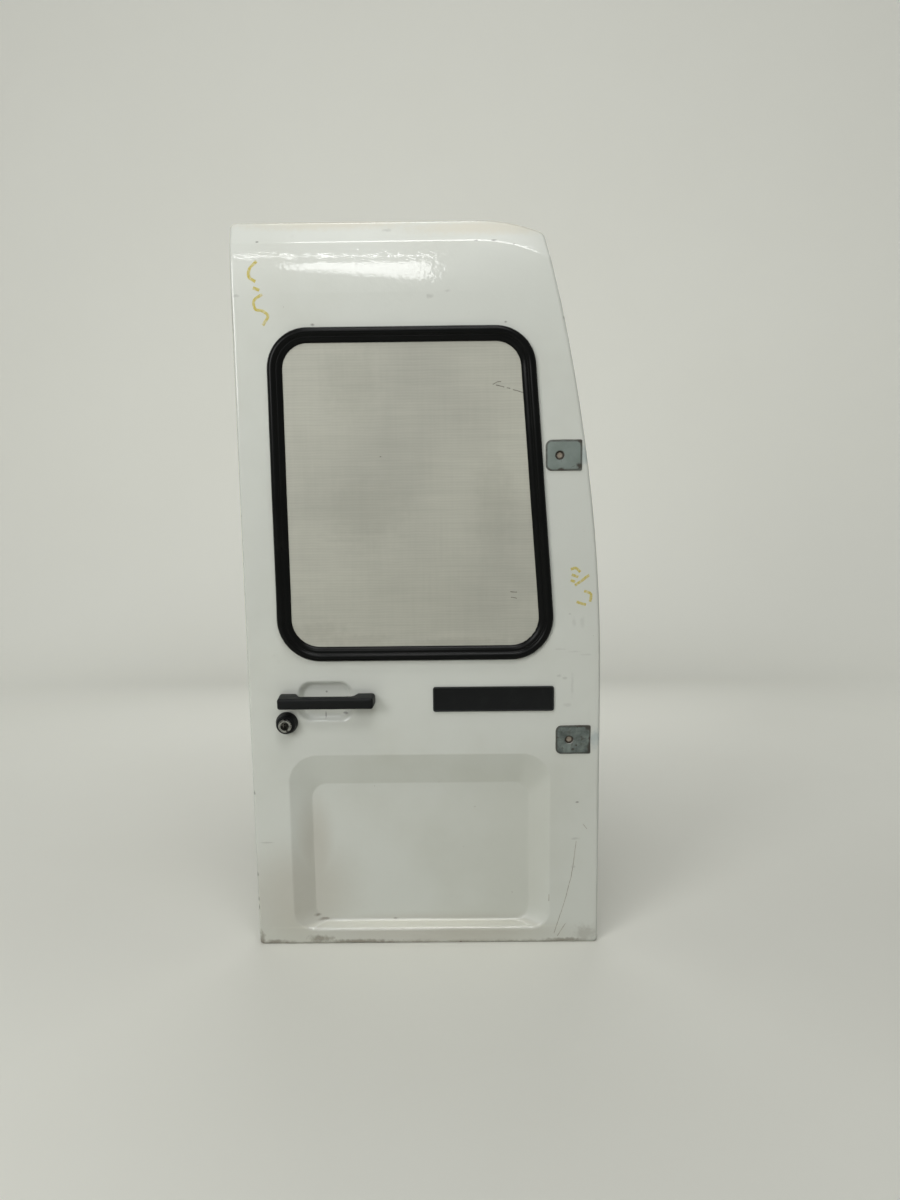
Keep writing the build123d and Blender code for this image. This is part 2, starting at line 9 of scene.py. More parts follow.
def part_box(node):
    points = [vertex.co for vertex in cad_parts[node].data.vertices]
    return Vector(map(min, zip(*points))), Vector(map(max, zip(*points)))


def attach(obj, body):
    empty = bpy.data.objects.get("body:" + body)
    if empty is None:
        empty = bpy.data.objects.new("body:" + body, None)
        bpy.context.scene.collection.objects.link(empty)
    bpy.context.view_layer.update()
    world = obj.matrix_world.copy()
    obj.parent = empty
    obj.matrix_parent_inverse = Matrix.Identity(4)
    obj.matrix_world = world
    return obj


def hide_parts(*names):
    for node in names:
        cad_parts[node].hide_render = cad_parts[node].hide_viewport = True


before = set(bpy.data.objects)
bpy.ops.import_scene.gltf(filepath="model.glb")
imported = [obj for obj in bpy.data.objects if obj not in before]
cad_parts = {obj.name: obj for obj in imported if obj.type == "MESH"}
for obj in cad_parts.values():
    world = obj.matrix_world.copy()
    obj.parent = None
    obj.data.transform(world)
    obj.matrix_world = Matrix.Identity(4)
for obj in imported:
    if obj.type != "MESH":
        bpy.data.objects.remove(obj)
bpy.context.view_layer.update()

bl_info = {
    "name": "Van rear door finish",
    "version": (1, 0, 0),
    "blender": (4, 5, 0),
    "location": "3D View > Sidebar > Van Door",
    "description": "Gives the packed van door its paint, rubber, glass, plastic and metal finishes",
    "category": "Object",
}

# The door's lower free corner on its outer face. Places on the door are given from it in millimetres.
CORNER, FAR_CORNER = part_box("outer_skin")
DOOR_WIDTH = (FAR_CORNER.x - CORNER.x) * 1000
DOOR_HEIGHT = (FAR_CORNER.z - CORNER.z) * 1000
OUTWARD = Vector((0, -1, 0))
INWARD = Vector((0, 1, 0))

# The door's form, as its sheet metal has it, in millimetres
BOW_START = 454
BOW_RADIUS = 2830
CROWN_SETBACK = 202
CROWN_RADIUS = 280
BEND_DROP = 110
BEND_RADIUS = 420
LOW_CORNER = 8
FREE_TOP_CORNER = 11
HINGE_TOP_CORNER = 16
FLANGE_BACK = 29
WELD_INSET = 7
FLANGE_EDGE = 1.5
SEALER_SUNK = 0.6
LATCH_BACK = 61
LATCH_SCREWS = [(x, z) for x in (35, 77) for z in (295, 373)]
SEAL_LOW = 504
SEAL_DROP = 162
SEAL_FREE = 53
SEAL_HINGE_LOW = 74
SEAL_HINGE_HIGH = 112.5
SEAL_LOW_CORNER = 70
SEAL_TOP_CORNER = 64
HINGE_PLATE_CORNER = 9
HINGE_PLATE_SQUARE = 0.5
NUT_FACE = 3.5
DUST_BACK = 0.3
PLATE_CORNER = 4

# Inward distance from the seal's outer edge, and height out of the outer face, in millimetres
SEAL_SECTION = [
    (0.4, 0.0), (-0.2, 1.6), (0.0, 3.8), (1.0, 6.0), (2.8, 7.8), (5.2, 8.8), (7.8, 9.0), (10.2, 8.4),
    (12.0, 7.2), (13.0, 5.9), (13.7, 5.0), (14.5, 5.1), (15.8, 5.2), (17.8, 4.8), (20.0, 3.9), (22.2, 2.7),
    (23.6, 1.3), (24.0, 0.02), (15.0, 0.02), (15.0, -4.0), (22.0, -4.0), (21.8, -6.6), (20.4, -8.4),
    (18.0, -9.0), (6.0, -9.0), (3.6, -8.4), (2.2, -6.6), (2.0, -2.0), (10.0, -2.0), (10.0, 0.0),
]

# Meshes: rounded edges, turned shapes, and what is random in the trees
SAME_POINT = 1e-6
FLAT_EDGE = math.radians(1)
EDGE_STEPS = 3
SHARP_EDGE = math.radians(24)
SMOOTH_EDGE = math.radians(35)
RING_SIDES = 12
FULL_TURN = 6.28
SPIN_SEED = 5
WANDER_SEED = 3.0

# Kinds of node that finishes share, with their settings, and a Mix node's sockets for colours
NOISE = "ShaderNodeTexNoise"
VECTOR = "ShaderNodeVectorMath"
RANGE = "ShaderNodeMapRange"
SMOOTH = (RANGE, {"interpolation_type": "SMOOTHSTEP"})
TINT = ("ShaderNodeMix", {"data_type": "RGBA"})
TIMES, PLUS, MOST, TIMES_PLUS = (
    ("ShaderNodeMath", {"operation": word}) for word in ("MULTIPLY", "ADD", "MAXIMUM", "MULTIPLY_ADD")
)
FACTOR, UNDER, OVER = 0, 6, 7

# Paint waves: height of the fine ones in metres, and how many times higher the broad ones are
FINE_WAVE = 0.00001
BROAD_WAVES = 10.0

# Stage in metres: the floor's width and run, the cove behind it, and the row of lamps that make the streak
FLOOR_SIDE = 9.0
FLOOR_RUN = (-9.0, -3.0, 2.0)
COVE_RADIUS = 0.8
COVE_ANGLES = (0.26, 0.52, 0.79, 1.05, 1.31, 1.571)
BACKDROP_TOP = 6.0
STRIP_COUNT = 6
STRIP_WIDTH = 0.145
STRIP_DEPTH = 0.20
STRIP_GROWTH = 0.085
STRIP_LEFT = -1.1275
STRIP_TOP = 2.51
STRIP_BACK = -4.0

# Stage in millimetres: the streak's place on the door, the camera's sensor and its place
STREAK = (165, 1135)
SENSOR_WIDTH = 36
CAMERA_PLACE = (350.1, 837.8, -1508.6)

# Stage in shares: the line lamp's power by the strips', the lift beside the door, the backdrop's glow
LINE_SHARE = 0.8
NEAR_LIFT = 0.125
BACKDROP_GLOW = 0.62


def at(x, z, y=0.0):
    """Point of the row frame from millimetres across, up and into the door."""
    return CORNER + Vector((x, y, z)) / 1000


def box_on_door(node):
    """Low and high corners of a CAD node's box, in the door's millimetres."""
    return [1000 * (corner - CORNER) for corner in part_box(node)]


def linear(code):
    """Linear colour of an sRGB hex value."""
    channels = [int(code[place:place + 2], 16) / 255 for place in (0, 2, 4)]
    return tuple(c / 12.92 if c <= 0.04045 else ((c + 0.055) / 1.055) ** 2.4 for c in channels)


# Second tones that go with the colours that a user would change
TONES = {name: linear(code) for name, code in {
    "crown dust": "CFC8B2", "ledge highlight": "E4E4D4", "brushed primer": "B4BEBB",
    "pane dust": "9C9C90", "pane dirt": "8E8A7E", "rim highlight": "3A3D3B",
    "tarnish": "2B2A27", "brass": "4F4D49", "brass tarnish": "171614", "yellow zinc": "97917C",
    "primer shade": "727D77", "stained shade": "333A37", "greasy hole shade": "4A443C", "dark greasy hole shade": "2E2A25",
    "hole dust": "AA9F90", "dark hole dust": "857868", "dry dirt": "8E8C80", "sealer shade": "A8A594",
    "pale wax": "D5D3BC", "scratch": "8F8778", "scratch edge": "C6C6BA",
    "pane scuff": "6E6B62", "pale scuff": "A09E92",
}.items()}


def colour(name, code, description):
    """Colour property with its sRGB default."""
    return FloatVectorProperty(
        name=name, description=description, default=linear(code), subtype="COLOR", size=3, min=0, max=1
    )


def length(name, millimetres, description):
    """Length property with its default in millimetres."""
    return FloatProperty(
        name=name, description=description, default=millimetres / 1000, unit="LENGTH", min=0, precision=5
    )


def tilt(name, degrees, description):
    """Angle property with its default in degrees."""
    return FloatProperty(name=name, description=description, default=math.radians(degrees), subtype="ANGLE")


def watts(name, power, description):
    """Power property of a lamp."""
    return FloatProperty(name=name, description=description, default=power, unit="POWER")


def plain(name, value, description):
    """Property without a unit that is never below nought."""
    return FloatProperty(name=name, description=description, default=value, min=0)


# Settings that a user would change

class VanDoorColours(bpy.types.PropertyGroup):
    enamel: colour("Enamel", "D6D9D1", "Sprayed white of the sheet metal")
    enamel_shade: colour("Aged enamel", "C7C9BD", "Yellowed patches of the white")
    # Grime also paints the shadow line along the free edge
    grime: colour("Grime", "685D4A", "Road dirt along the lower edge and in corners")
    rust: colour("Rust", "5E4432", "Rust at chips and scratches")
    # Also gives the painted warm shade down the left slope of the recess
    film_dirt_and_shade: colour("Dirt film and shade", "A79B88", "Thin brown film on the paint low down")
    scuff: colour("Scuff", "55524A", "Dark scuffs on the paint")
    stain: colour("Stain", "3D3A33", "Dark stains of the hinge seats and their edges")
    primer: colour("Primer", "7E8983", "Blue-grey primer of the hinge seats")
    rubber: colour("Rubber", "040505", "Seal, pads and plugs")
    rubber_bloom: colour("Rubber bloom", "0D0F0E", "Grey bloom of old rubber")
    plastic: colour("Plastic", "0B0D0E", "Grip, lock boss and plate")
    plastic_worn: colour("Worn plastic", "181B1A", "Rubbed plastic")
    chrome: colour("Chrome", "8F8F8B", "Lock button")
    zinc: colour("Zinc", "A9A79C", "Plated fixings and latch")
    film: colour("Glass film", "BDBDB0", "Pale film behind the glass")
    film_shade: colour("Film shade", "ABABA0", "Darker parts of the film")
    crayon: colour("Crayon", "C4B445", "Wax crayon strokes")
    sealer: colour("Seam sealer", "BDBBAC", "Brushed sealer along the hem")
    floor: colour("Floor", "E3E4DB", "Painted floor and backdrop")
    floor_shade: colour("Floor shade", "DCDCD2", "Darker clouds of the floor")


class VanDoorSizes(bpy.types.PropertyGroup):
    peel: length("Orange peel", 3.2, "Spacing of the fine waves in sprayed paint")
    dimple: length("Paint waves", 6.0, "Spacing of the broad waves in sprayed paint")
    weave: length("Film weave", 4.4, "Thread spacing of the film, drawn as coarse as it needs to show")
    grain: length("Plastic grain", 1.4, "Spacing of the moulded grain")
    weld_pitch: length("Weld pitch", 42, "Distance between spot welds")
    weld_radius: length("Weld radius", 3.0, "Radius of a spot weld")
    sealer_width: length("Sealer width", 5.0, "Width of the seam sealer")
    screw_radius: length("Screw head", 4.6, "Radius of the latch screw heads")
    grip_round: length("Grip edge", 1.6, "Rounding of the grip's edges")
    trim_round: length("Trim edge", 0.5, "Rounding of small trim edges")
    crayon_width: length("Crayon width", 5.4, "Width of a crayon stroke")
    scratch_width: length("Scratch width", 1.1, "Width of a scratch")
    scuff_width: length("Scuff width", 1.8, "Width of a scuff on the pane")
    dirt_width: length("Edge dirt", 1.8, "Width of the dirt line round a hinge seat")
    dust_radius: length("Packed dust", 4.8, "Radius of the dust packed in a bolt hole")


class VanDoorStage(bpy.types.PropertyGroup):
    lens: FloatProperty(name="Lens", description="Focal length for a 36 mm sensor", default=27.9, min=1)
    pitch: tilt("Pitch", 8.80, "Downward tilt of the camera")
    yaw: tilt("Yaw", 0.45, "Sideways turn of the camera")
    roll: tilt("Roll", -0.67, "Roll of the camera")
    key_power: watts("Key", 28, "Power of the main softbox")
    top_power: watts("Ceiling", 15.5, "Power of the ceiling panel")
    over_power: watts("Overhead", 12.5, "Power of the overhead panel")
    strip_power: watts("Strip", 3.4, "Power of the strip lamps for each metre")
    back_power: watts("Back", 16, "Power of the rear softbox")
    lift: plain("Lift", 0.42, "How much paler the backdrop is shown")
    sky: plain("Fill", 0.09, "Strength of the even fill light")


# Node and mesh helpers

def add(tree, kind, inputs=None, **settings):
    """Adds a node of a kind, which may bring settings with it.

    Inputs are constants, or sockets or nodes to link from: a node by the first of its outputs in use.
    """
    if not isinstance(kind, str):
        kind, shared = kind
        settings = {**shared, **settings}
    node = tree.nodes.new(kind)
    for key, value in settings.items():
        setattr(node, key, value)
    for key, value in (inputs or {}).items():
        if isinstance(value, bpy.types.Node):
            value = next(socket for socket in value.outputs if socket.enabled)
        if isinstance(value, bpy.types.NodeSocket):
            tree.links.new(value, node.inputs[key])
        else:
            node.inputs[key].default_value = value
    return node


def per_metre(millimetres):
    """Texture scale for a pattern of that spacing."""
    return 1000 / millimetres


def rgba(value):
    """Colour with full opacity."""
    return (*value, 1.0)


def paint_node(name, material):
    """Gives a CAD node its finish."""
    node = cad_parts[name]
    if not node.material_slots:
        node.data.materials.append(material)
    for slot in node.material_slots:
        slot.material = material


def linked(name, data):
    """New object of the scene."""
    item = bpy.data.objects.new(name, data)
    bpy.context.scene.collection.objects.link(item)
    return item


def new_piece(name, mesh):
    """Object for a finished mesh, riding the door."""
    piece = linked(name, mesh)
    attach(piece, "door")
    return piece


def path_mesh(name, runs, closed=True):
    """Mesh of bare edges along one or more runs of points."""
    mesh = bpy.data.meshes.new(name)
    points = []
    edges = []
    for run in runs:
        first = len(points)
        points.extend(run)
        edges.extend((first + place, first + place + 1) for place in range(len(run) - 1))
        if closed:
            edges.append((len(points) - 1, first))
    mesh.from_pydata([tuple(point) for point in points], edges, [])
    return mesh


def run_tree(tree, mesh, inputs):
    """Runs a Geometry Nodes tree on a mesh and returns the result as a plain mesh."""
    source = linked(mesh.name, mesh)
    modifier = source.modifiers.new("Tree", "NODES")
    modifier.node_group = tree
    sockets = [item for item in tree.interface.items_tree if item.item_type == "SOCKET"]
    names = {item.name: item.identifier for item in sockets if item.in_out == "INPUT"}
    for key, value in inputs.items():
        modifier[names[key]] = value
    depsgraph = bpy.context.evaluated_depsgraph_get()
    result = bpy.data.meshes.new_from_object(source.evaluated_get(depsgraph), depsgraph=depsgraph)
    source.modifiers.remove(modifier)
    bpy.data.objects.remove(source)
    if not result.polygons:
        raise RuntimeError("the tree made no faces for " + mesh.name)
    return result


def open_tree(name, inputs):
    """New Geometry Nodes tree with named inputs, and the sockets that give them."""
    tree = bpy.data.node_groups.new(name, "GeometryNodeTree")
    tree.interface.new_socket("Geometry", in_out="INPUT", socket_type="NodeSocketGeometry")
    for label, kind in inputs.items():
        tree.interface.new_socket(label, in_out="INPUT", socket_type="NodeSocket" + kind)
    tree.interface.new_socket("Geometry", in_out="OUTPUT", socket_type="NodeSocketGeometry")
    return tree, add(tree, "NodeGroupInput").outputs


def close_tree(tree, geometry, finish):
    """Ends a tree in plain smooth geometry of one finish."""
    smooth = add(tree, "GeometryNodeSetShadeSmooth", {"Geometry": geometry})
    whole = add(tree, "GeometryNodeRealizeInstances", {"Geometry": smooth})
    coated = add(tree, "GeometryNodeSetMaterial", {"Geometry": whole, "Material": finish})
    add(tree, "NodeGroupOutput", {"Geometry": coated})


def even_line(tree, given):
    """The given path as a curve of evenly spaced points."""
    line = add(tree, "GeometryNodeMeshToCurve", {"Mesh": given["Geometry"]})
    return add(tree, "GeometryNodeResampleCurve", {"Curve": line, "Length": given["Spacing"]}, mode="LENGTH")


def run_along_tree():
    """Tree that runs a cross section along a path, with a wander of its own."""
    tree, given = open_tree("Run along path", {
        "Section": "Object", "Facing": "Vector", "Spacing": "Float", "Wander": "Float",
        "Wander length": "Float", "Finish": "Material",
    })
    even = even_line(tree, given)
    rate = add(tree, "ShaderNodeMath", {0: 1.0, 1: given["Wander length"]}, operation="DIVIDE")
    noise = add(tree, NOISE, {"Scale": rate, "W": WANDER_SEED, "Detail": 1.0}, noise_dimensions="4D")
    centred = add(tree, VECTOR, {0: noise.outputs["Color"], 1: (0.5, 0.5, 0.5)}, operation="SUBTRACT")
    flat = add(tree, VECTOR, {0: centred, 1: (1.0, 0.0, 1.0)}, operation="MULTIPLY")
    sway = add(tree, VECTOR, {0: flat, "Scale": given["Wander"]}, operation="SCALE")
    moved = add(tree, "GeometryNodeSetPosition", {"Geometry": even, "Offset": sway})
    faced = add(tree, "GeometryNodeSetCurveNormal", {"Curve": moved, "Normal": given["Facing"]}, mode="FREE")
    section = add(tree, "GeometryNodeObjectInfo", {"Object": given["Section"]})
    outline = add(tree, "GeometryNodeMeshToCurve", {"Mesh": section.outputs["Geometry"]})
    body = add(tree, "GeometryNodeCurveToMesh", {"Curve": faced, "Profile Curve": outline, "Fill Caps": True})
    close_tree(tree, body, given["Finish"])
    return tree


def set_out_tree():
    """Tree that sets copies of one shape along a path or at points, each turned by a random spin."""
    tree, given = open_tree("Set out copies", {
        "Shape": "Object", "Facing": "Vector", "Spacing": "Float", "At points": "Bool", "Finish": "Material",
    })
    even = even_line(tree, given)
    ways = {"Switch": given["At points"], "False": even, "True": given["Geometry"]}
    places = add(tree, "GeometryNodeSwitch", ways, input_type="GEOMETRY")
    facing = add(tree, "FunctionNodeAlignRotationToVector", {"Vector": given["Facing"]}, axis="Z")
    spin = add(tree, "FunctionNodeRandomValue", {"Max": FULL_TURN, "Seed": SPIN_SEED}, data_type="FLOAT")
    turn = add(tree, "FunctionNodeAxisAngleToRotation", {"Angle": spin})
    turned = add(tree, "FunctionNodeRotateRotation",
                 {"Rotation": facing, "Rotate By": turn}, rotation_space="LOCAL")
    shape = add(tree, "GeometryNodeObjectInfo", {"Object": given["Shape"], "As Instance": True})
    copies = add(tree, "GeometryNodeInstanceOnPoints",
                 {"Points": places, "Instance": shape.outputs["Geometry"], "Rotation": turned})
    close_tree(tree, copies, given["Finish"])
    return tree


def swept(name, runs, section, material, facing, spacing, wander, wave, closed=True):
    """Piece of one cross section run along paths, which wander by a distance over a length."""
    mesh = run_tree(run_along_tree(), path_mesh(name, runs, closed), {
        "Section": section, "Facing": facing, "Spacing": spacing, "Wander": wander,
        "Wander length": wave, "Finish": material,
    })
    bpy.data.objects.remove(section)
    return new_piece(name, mesh)


def set_out(name, places, shape, material, facing, spacing=None):
    """Piece of copies of a shape: spaced out along a closed path, or one at each place."""
    layout = {"At points": True} if spacing is None else {"Spacing": spacing}
    mesh = run_tree(set_out_tree(), path_mesh(name, [places], spacing is not None), {
        "Shape": shape, "Facing": facing, "Finish": material, **layout,
    })
    bpy.data.objects.remove(shape)
    return new_piece(name, mesh)


def turned_shape(name, radius, rings, flats_from=None):
    """Helper of stacked rings, each a share of the radius and a rise in millimetres.

    The rings from the one that flats_from counts to are six-sided.
    """
    work = bmesh.new()
    before = None
    for place, (share, rise) in enumerate(rings):
        flats = flats_from is not None and place >= flats_from
        ring = []
        for step in range(RING_SIDES):
            angle = 2 * math.pi * step / RING_SIDES
            reach = radius * share * (math.cos(2 * math.pi / RING_SIDES) if flats and step % 2 else 1)
            ring.append(work.verts.new((reach * math.cos(angle), reach * math.sin(angle), rise / 1000)))
        if before:
            for step in range(RING_SIDES):
                turn = (step + 1) % RING_SIDES
                work.faces.new((before[step], before[turn], ring[turn], ring[step]))
        else:
            work.faces.new(list(reversed(ring)))
        before = ring
    work.faces.new(before)
    mesh = bpy.data.meshes.new(name)
    work.to_mesh(mesh)
    work.free()
    return linked(name, mesh)


def softened(node, name, edge, finish):
    """Copy of a CAD node with its sharp edges rounded, which stands for the node."""
    work = bmesh.new()
    work.from_mesh(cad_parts[node].data)
    bmesh.ops.remove_doubles(work, verts=work.verts, dist=SAME_POINT)
    bmesh.ops.dissolve_limit(work, angle_limit=FLAT_EDGE, verts=work.verts, edges=work.edges)
    corners = [
        line for line in work.edges if len(line.link_faces) == 2 and line.calc_face_angle(0) > SHARP_EDGE
    ]
    bmesh.ops.bevel(
        work, geom=corners, offset=edge, offset_type="OFFSET", segments=EDGE_STEPS, profile=0.5,
        affect="EDGES", clamp_overlap=True,
    )
    mesh = bpy.data.meshes.new(name)
    work.to_mesh(mesh)
    work.free()
    mesh.shade_smooth()
    mesh.set_sharp_from_angle(angle=SMOOTH_EDGE)
    mesh.materials.append(finish)
    piece = new_piece(name, mesh)
    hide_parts(node)


# Paths on the door

def rounded(corners, radii, steps=10):
    """Closed path through corners, each rounded by its own radius."""
    path = []
    for place, (corner, radius) in enumerate(zip(corners, radii)):
        here = Vector(corner)
        before = (Vector(corners[place - 1]) - here).normalized()
        after = (Vector(corners[(place + 1) % len(corners)]) - here).normalized()
        half = before.angle(after) / 2
        reach = radius / math.tan(half)
        centre = here + (before + after).normalized() * (radius / math.sin(half))
        start = here + before * reach - centre
        end = here + after * reach - centre
        for step in range(steps + 1):
            path.append(centre + start.lerp(end, step / steps).normalized() * radius)
    return path


def window_path():
    """Outer edge of the window seal, from its lower free corner round by the hinge side."""
    high = DOOR_HEIGHT - SEAL_DROP
    corners = [
        (SEAL_FREE, SEAL_LOW), (DOOR_WIDTH - SEAL_HINGE_LOW, SEAL_LOW),
        (DOOR_WIDTH - SEAL_HINGE_HIGH, high), (SEAL_FREE, high),
    ]
    return rounded(corners, [SEAL_LOW_CORNER, SEAL_LOW_CORNER, SEAL_TOP_CORNER, SEAL_TOP_CORNER])


def hinge_edge(height, inset):
    """Place of the bowed hinge edge at a height, drawn in."""
    rise = max(0.0, height - BOW_START)
    return DOOR_WIDTH - BOW_RADIUS + math.sqrt((BOW_RADIUS - inset)**2 - rise**2)


def bent(before, corner, after, steps=6):
    """Round from one point to another, drawn towards a corner."""
    before, corner, after = Vector(before), Vector(corner), Vector(after)
    shares = [step / steps for step in range(steps + 1)]
    return [before.lerp(corner, share).lerp(corner.lerp(after, share), share) for share in shares]


def door_path(inset, bow_step=3, crown_steps=60):
    """Door's outline drawn in, from its lower free corner round by the hinge side."""
    crown_x = DOOR_WIDTH - CROWN_SETBACK
    crown_z = DOOR_HEIGHT - CROWN_RADIUS
    reach = CROWN_RADIUS - inset
    right = DOOR_WIDTH - inset
    top = DOOR_HEIGHT - inset
    low = inset + LOW_CORNER
    path = bent((inset, low), (inset, inset), (low, inset))
    path += bent((right - LOW_CORNER, inset), (right, inset), (right, low))
    bow = []
    height = BOW_START
    x = hinge_edge(height, inset)
    while height <= crown_z or math.hypot(x - crown_x, height - crown_z) <= reach:
        bow.append(Vector((x, height)))
        height += bow_step
        x = hinge_edge(height, inset)
    tip = bow[-1]
    first = math.atan2(tip.y - crown_z, tip.x - crown_x)
    crown = []
    for step in range(crown_steps + 1):
        angle = first + (math.pi / 2 - first) * step / crown_steps
        crown.append(Vector((crown_x + reach * math.cos(angle), crown_z + reach * math.sin(angle))))
    bow = [point for point in bow if (point - tip).length > HINGE_TOP_CORNER]
    crown = [point for point in crown if (point - tip).length > HINGE_TOP_CORNER]
    path += bow + bent(bow[-1], tip, crown[0]) + crown
    path += bent((inset + FREE_TOP_CORNER, top), (inset, top), (inset, top - FREE_TOP_CORNER))
    return path


def skin_depth(height):
    """How far the outer face lies back at a height, where it bends in near the top."""
    rise = max(0.0, height - (DOOR_HEIGHT - BEND_DROP))
    return BEND_RADIUS - math.sqrt(BEND_RADIUS**2 - rise**2)


def on_face(points):
    """Places on the outer face for points across and up."""
    return [at(x, z, skin_depth(z)) for x, z in points]


def eased(points, steps=6):
    """Smooth run through points across and up."""
    run = []
    ends = [Vector(points[0]), *(Vector(point) for point in points), Vector(points[-1])]
    for place in range(1, len(ends) - 2):
        before, here, there, after = ends[place - 1:place + 3]
        for step in range(steps):
            t = step / steps
            run.append(0.5 * (
                2 * here + (there - before) * t + (2 * before - 5 * here + 4 * there - after) * t**2
                + (3 * here - before - 3 * there + after) * t**3
            ))
    run.append(ends[-1])
    return run


def flat_section(name, width, height, sunk, steps=10):
    """Cross section of a low mound: a flattened oval that is partly sunk."""
    points = []
    for step in range(steps):
        angle = 2 * math.pi * step / steps
        points.append((math.sin(angle) * height - sunk, math.cos(angle) * width / 2, 0))
    return linked(name, path_mesh(name, [points]))


# Parts of finishes

def start_material(name):
    """New empty material with its tree and the piece's own coordinates in metres."""
    material = bpy.data.materials.new(name)
    material.use_nodes = True
    tree = material.node_tree
    tree.nodes.clear()
    return material, tree, add(tree, "ShaderNodeTexCoord").outputs["Object"]


def close_material(material, inputs):
    """Ends a material in a surface with these inputs."""
    tree = material.node_tree
    shader = add(tree, "ShaderNodeBsdfPrincipled", inputs)
    add(tree, "ShaderNodeOutputMaterial", {"Surface": shader})
    return material


def mottled(tree, place, tones, spacing, grain, span, blend=RANGE):
    """One tone broken by another in patches of a spacing: the noise, and the colour that it gives.

    The span is where in the noise the second tone starts and is fullest, and how much it then covers.
    """
    noise = add(tree, NOISE, {"Vector": place, "Scale": per_metre(spacing), **grain})
    start, full, most = span
    share = add(tree, blend, {"Value": noise, "From Min": start, "From Max": full, "To Max": most})
    first, second = tones
    return noise, add(tree, TINT, {FACTOR: share, UNDER: rgba(first), OVER: rgba(second)})


def relief(tree, pattern, height):
    """Bumps that follow a pattern, by a height in metres."""
    rise = add(tree, TIMES, {0: pattern, 1: height})
    return add(tree, "ShaderNodeBump", {"Strength": 1.0, "Distance": 1.0, "Height": rise})


def soft_spots(tree, place, ragged, places):
    """How far ragged soft spots cover.

    Each has its place across and up, half width and half height, and a depth if it ends within the door.
    """
    cover = None
    for x, z, half_width, half_height, *depth in places:
        shrink = Vector((1000 / half_width, 1000 / depth[0] if depth else 0, 1000 / half_height))
        centred = add(tree, "ShaderNodeMapping",
                      {"Vector": place, "Scale": shrink, "Location": -at(x, z) * shrink})
        away = add(tree, VECTOR, {0: centred}, operation="LENGTH")
        broken = add(tree, PLUS, {0: away, 1: ragged})
        spot = add(tree, SMOOTH, {"Value": broken, "From Min": 1.1, "From Max": 0.2})
        cover = add(tree, MOST, {0: cover, 1: spot}) if cover else spot
    return cover


def marked(tree, place, flecks, base, marks):
    """Base with marks on it: each is a tone, how much it covers, how ragged it is, and its soft spots."""
    for tone, cover, rough, places in marks:
        ragged = add(tree, RANGE, {"Value": flecks, "To Min": -rough, "To Max": rough})
        spots = soft_spots(tree, place, ragged, places)
        share = add(tree, TIMES, {0: spots, 1: cover})
        base = add(tree, TINT, {FACTOR: share, UNDER: base, OVER: rgba(tone)})
    return base


def near_edges(tree, axes, low, free, blend=RANGE):
    """How near the lower and free edges a point lies.

    Each edge has the millimetres inside it where that starts and is fullest, and how much it then is.
    """
    reaches = []
    for axis, edge, (start, full, most) in (("Z", CORNER.z, low), ("X", CORNER.x, free)):
        reaches.append(add(tree, blend, {
            "Value": axes.outputs[axis], "From Min": edge + start / 1000, "From Max": edge + full / 1000,
            "To Max": most,
        }))
    return add(tree, MOST, dict(enumerate(reaches)))


def plate_rim(tree, place, node, corner, width):
    """How far a plate's rim covers, along its rounded outline, with its corner and width in millimetres."""
    low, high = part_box(node)
    corner, width = corner / 1000, width / 1000
    half = (high - low) / 2 - Vector((corner, 0, corner))
    half.y = 1
    centred = add(tree, VECTOR, {0: place, 1: (low + high) / 2}, operation="SUBTRACT")
    folded = add(tree, VECTOR, {0: centred}, operation="ABSOLUTE")
    over = add(tree, VECTOR, {0: folded, 1: half}, operation="SUBTRACT")
    past = add(tree, VECTOR, {0: over, 1: (0, 0, 0)}, operation="MAXIMUM")
    away = add(tree, VECTOR, {0: past}, operation="LENGTH")
    return add(tree, SMOOTH, {"Value": away, "From Min": corner - width, "From Max": corner - width / 2})


def seen_rays(tree):
    """One for rays from the camera or by way of gloss and glass, nought for light."""
    rays = add(tree, "ShaderNodeLightPath").outputs
    seen = add(tree, MOST, {0: rays["Is Camera Ray"], 1: rays["Is Glossy Ray"]})
    return add(tree, MOST, {0: seen, 1: rays["Is Transmission Ray"]})


# Finishes

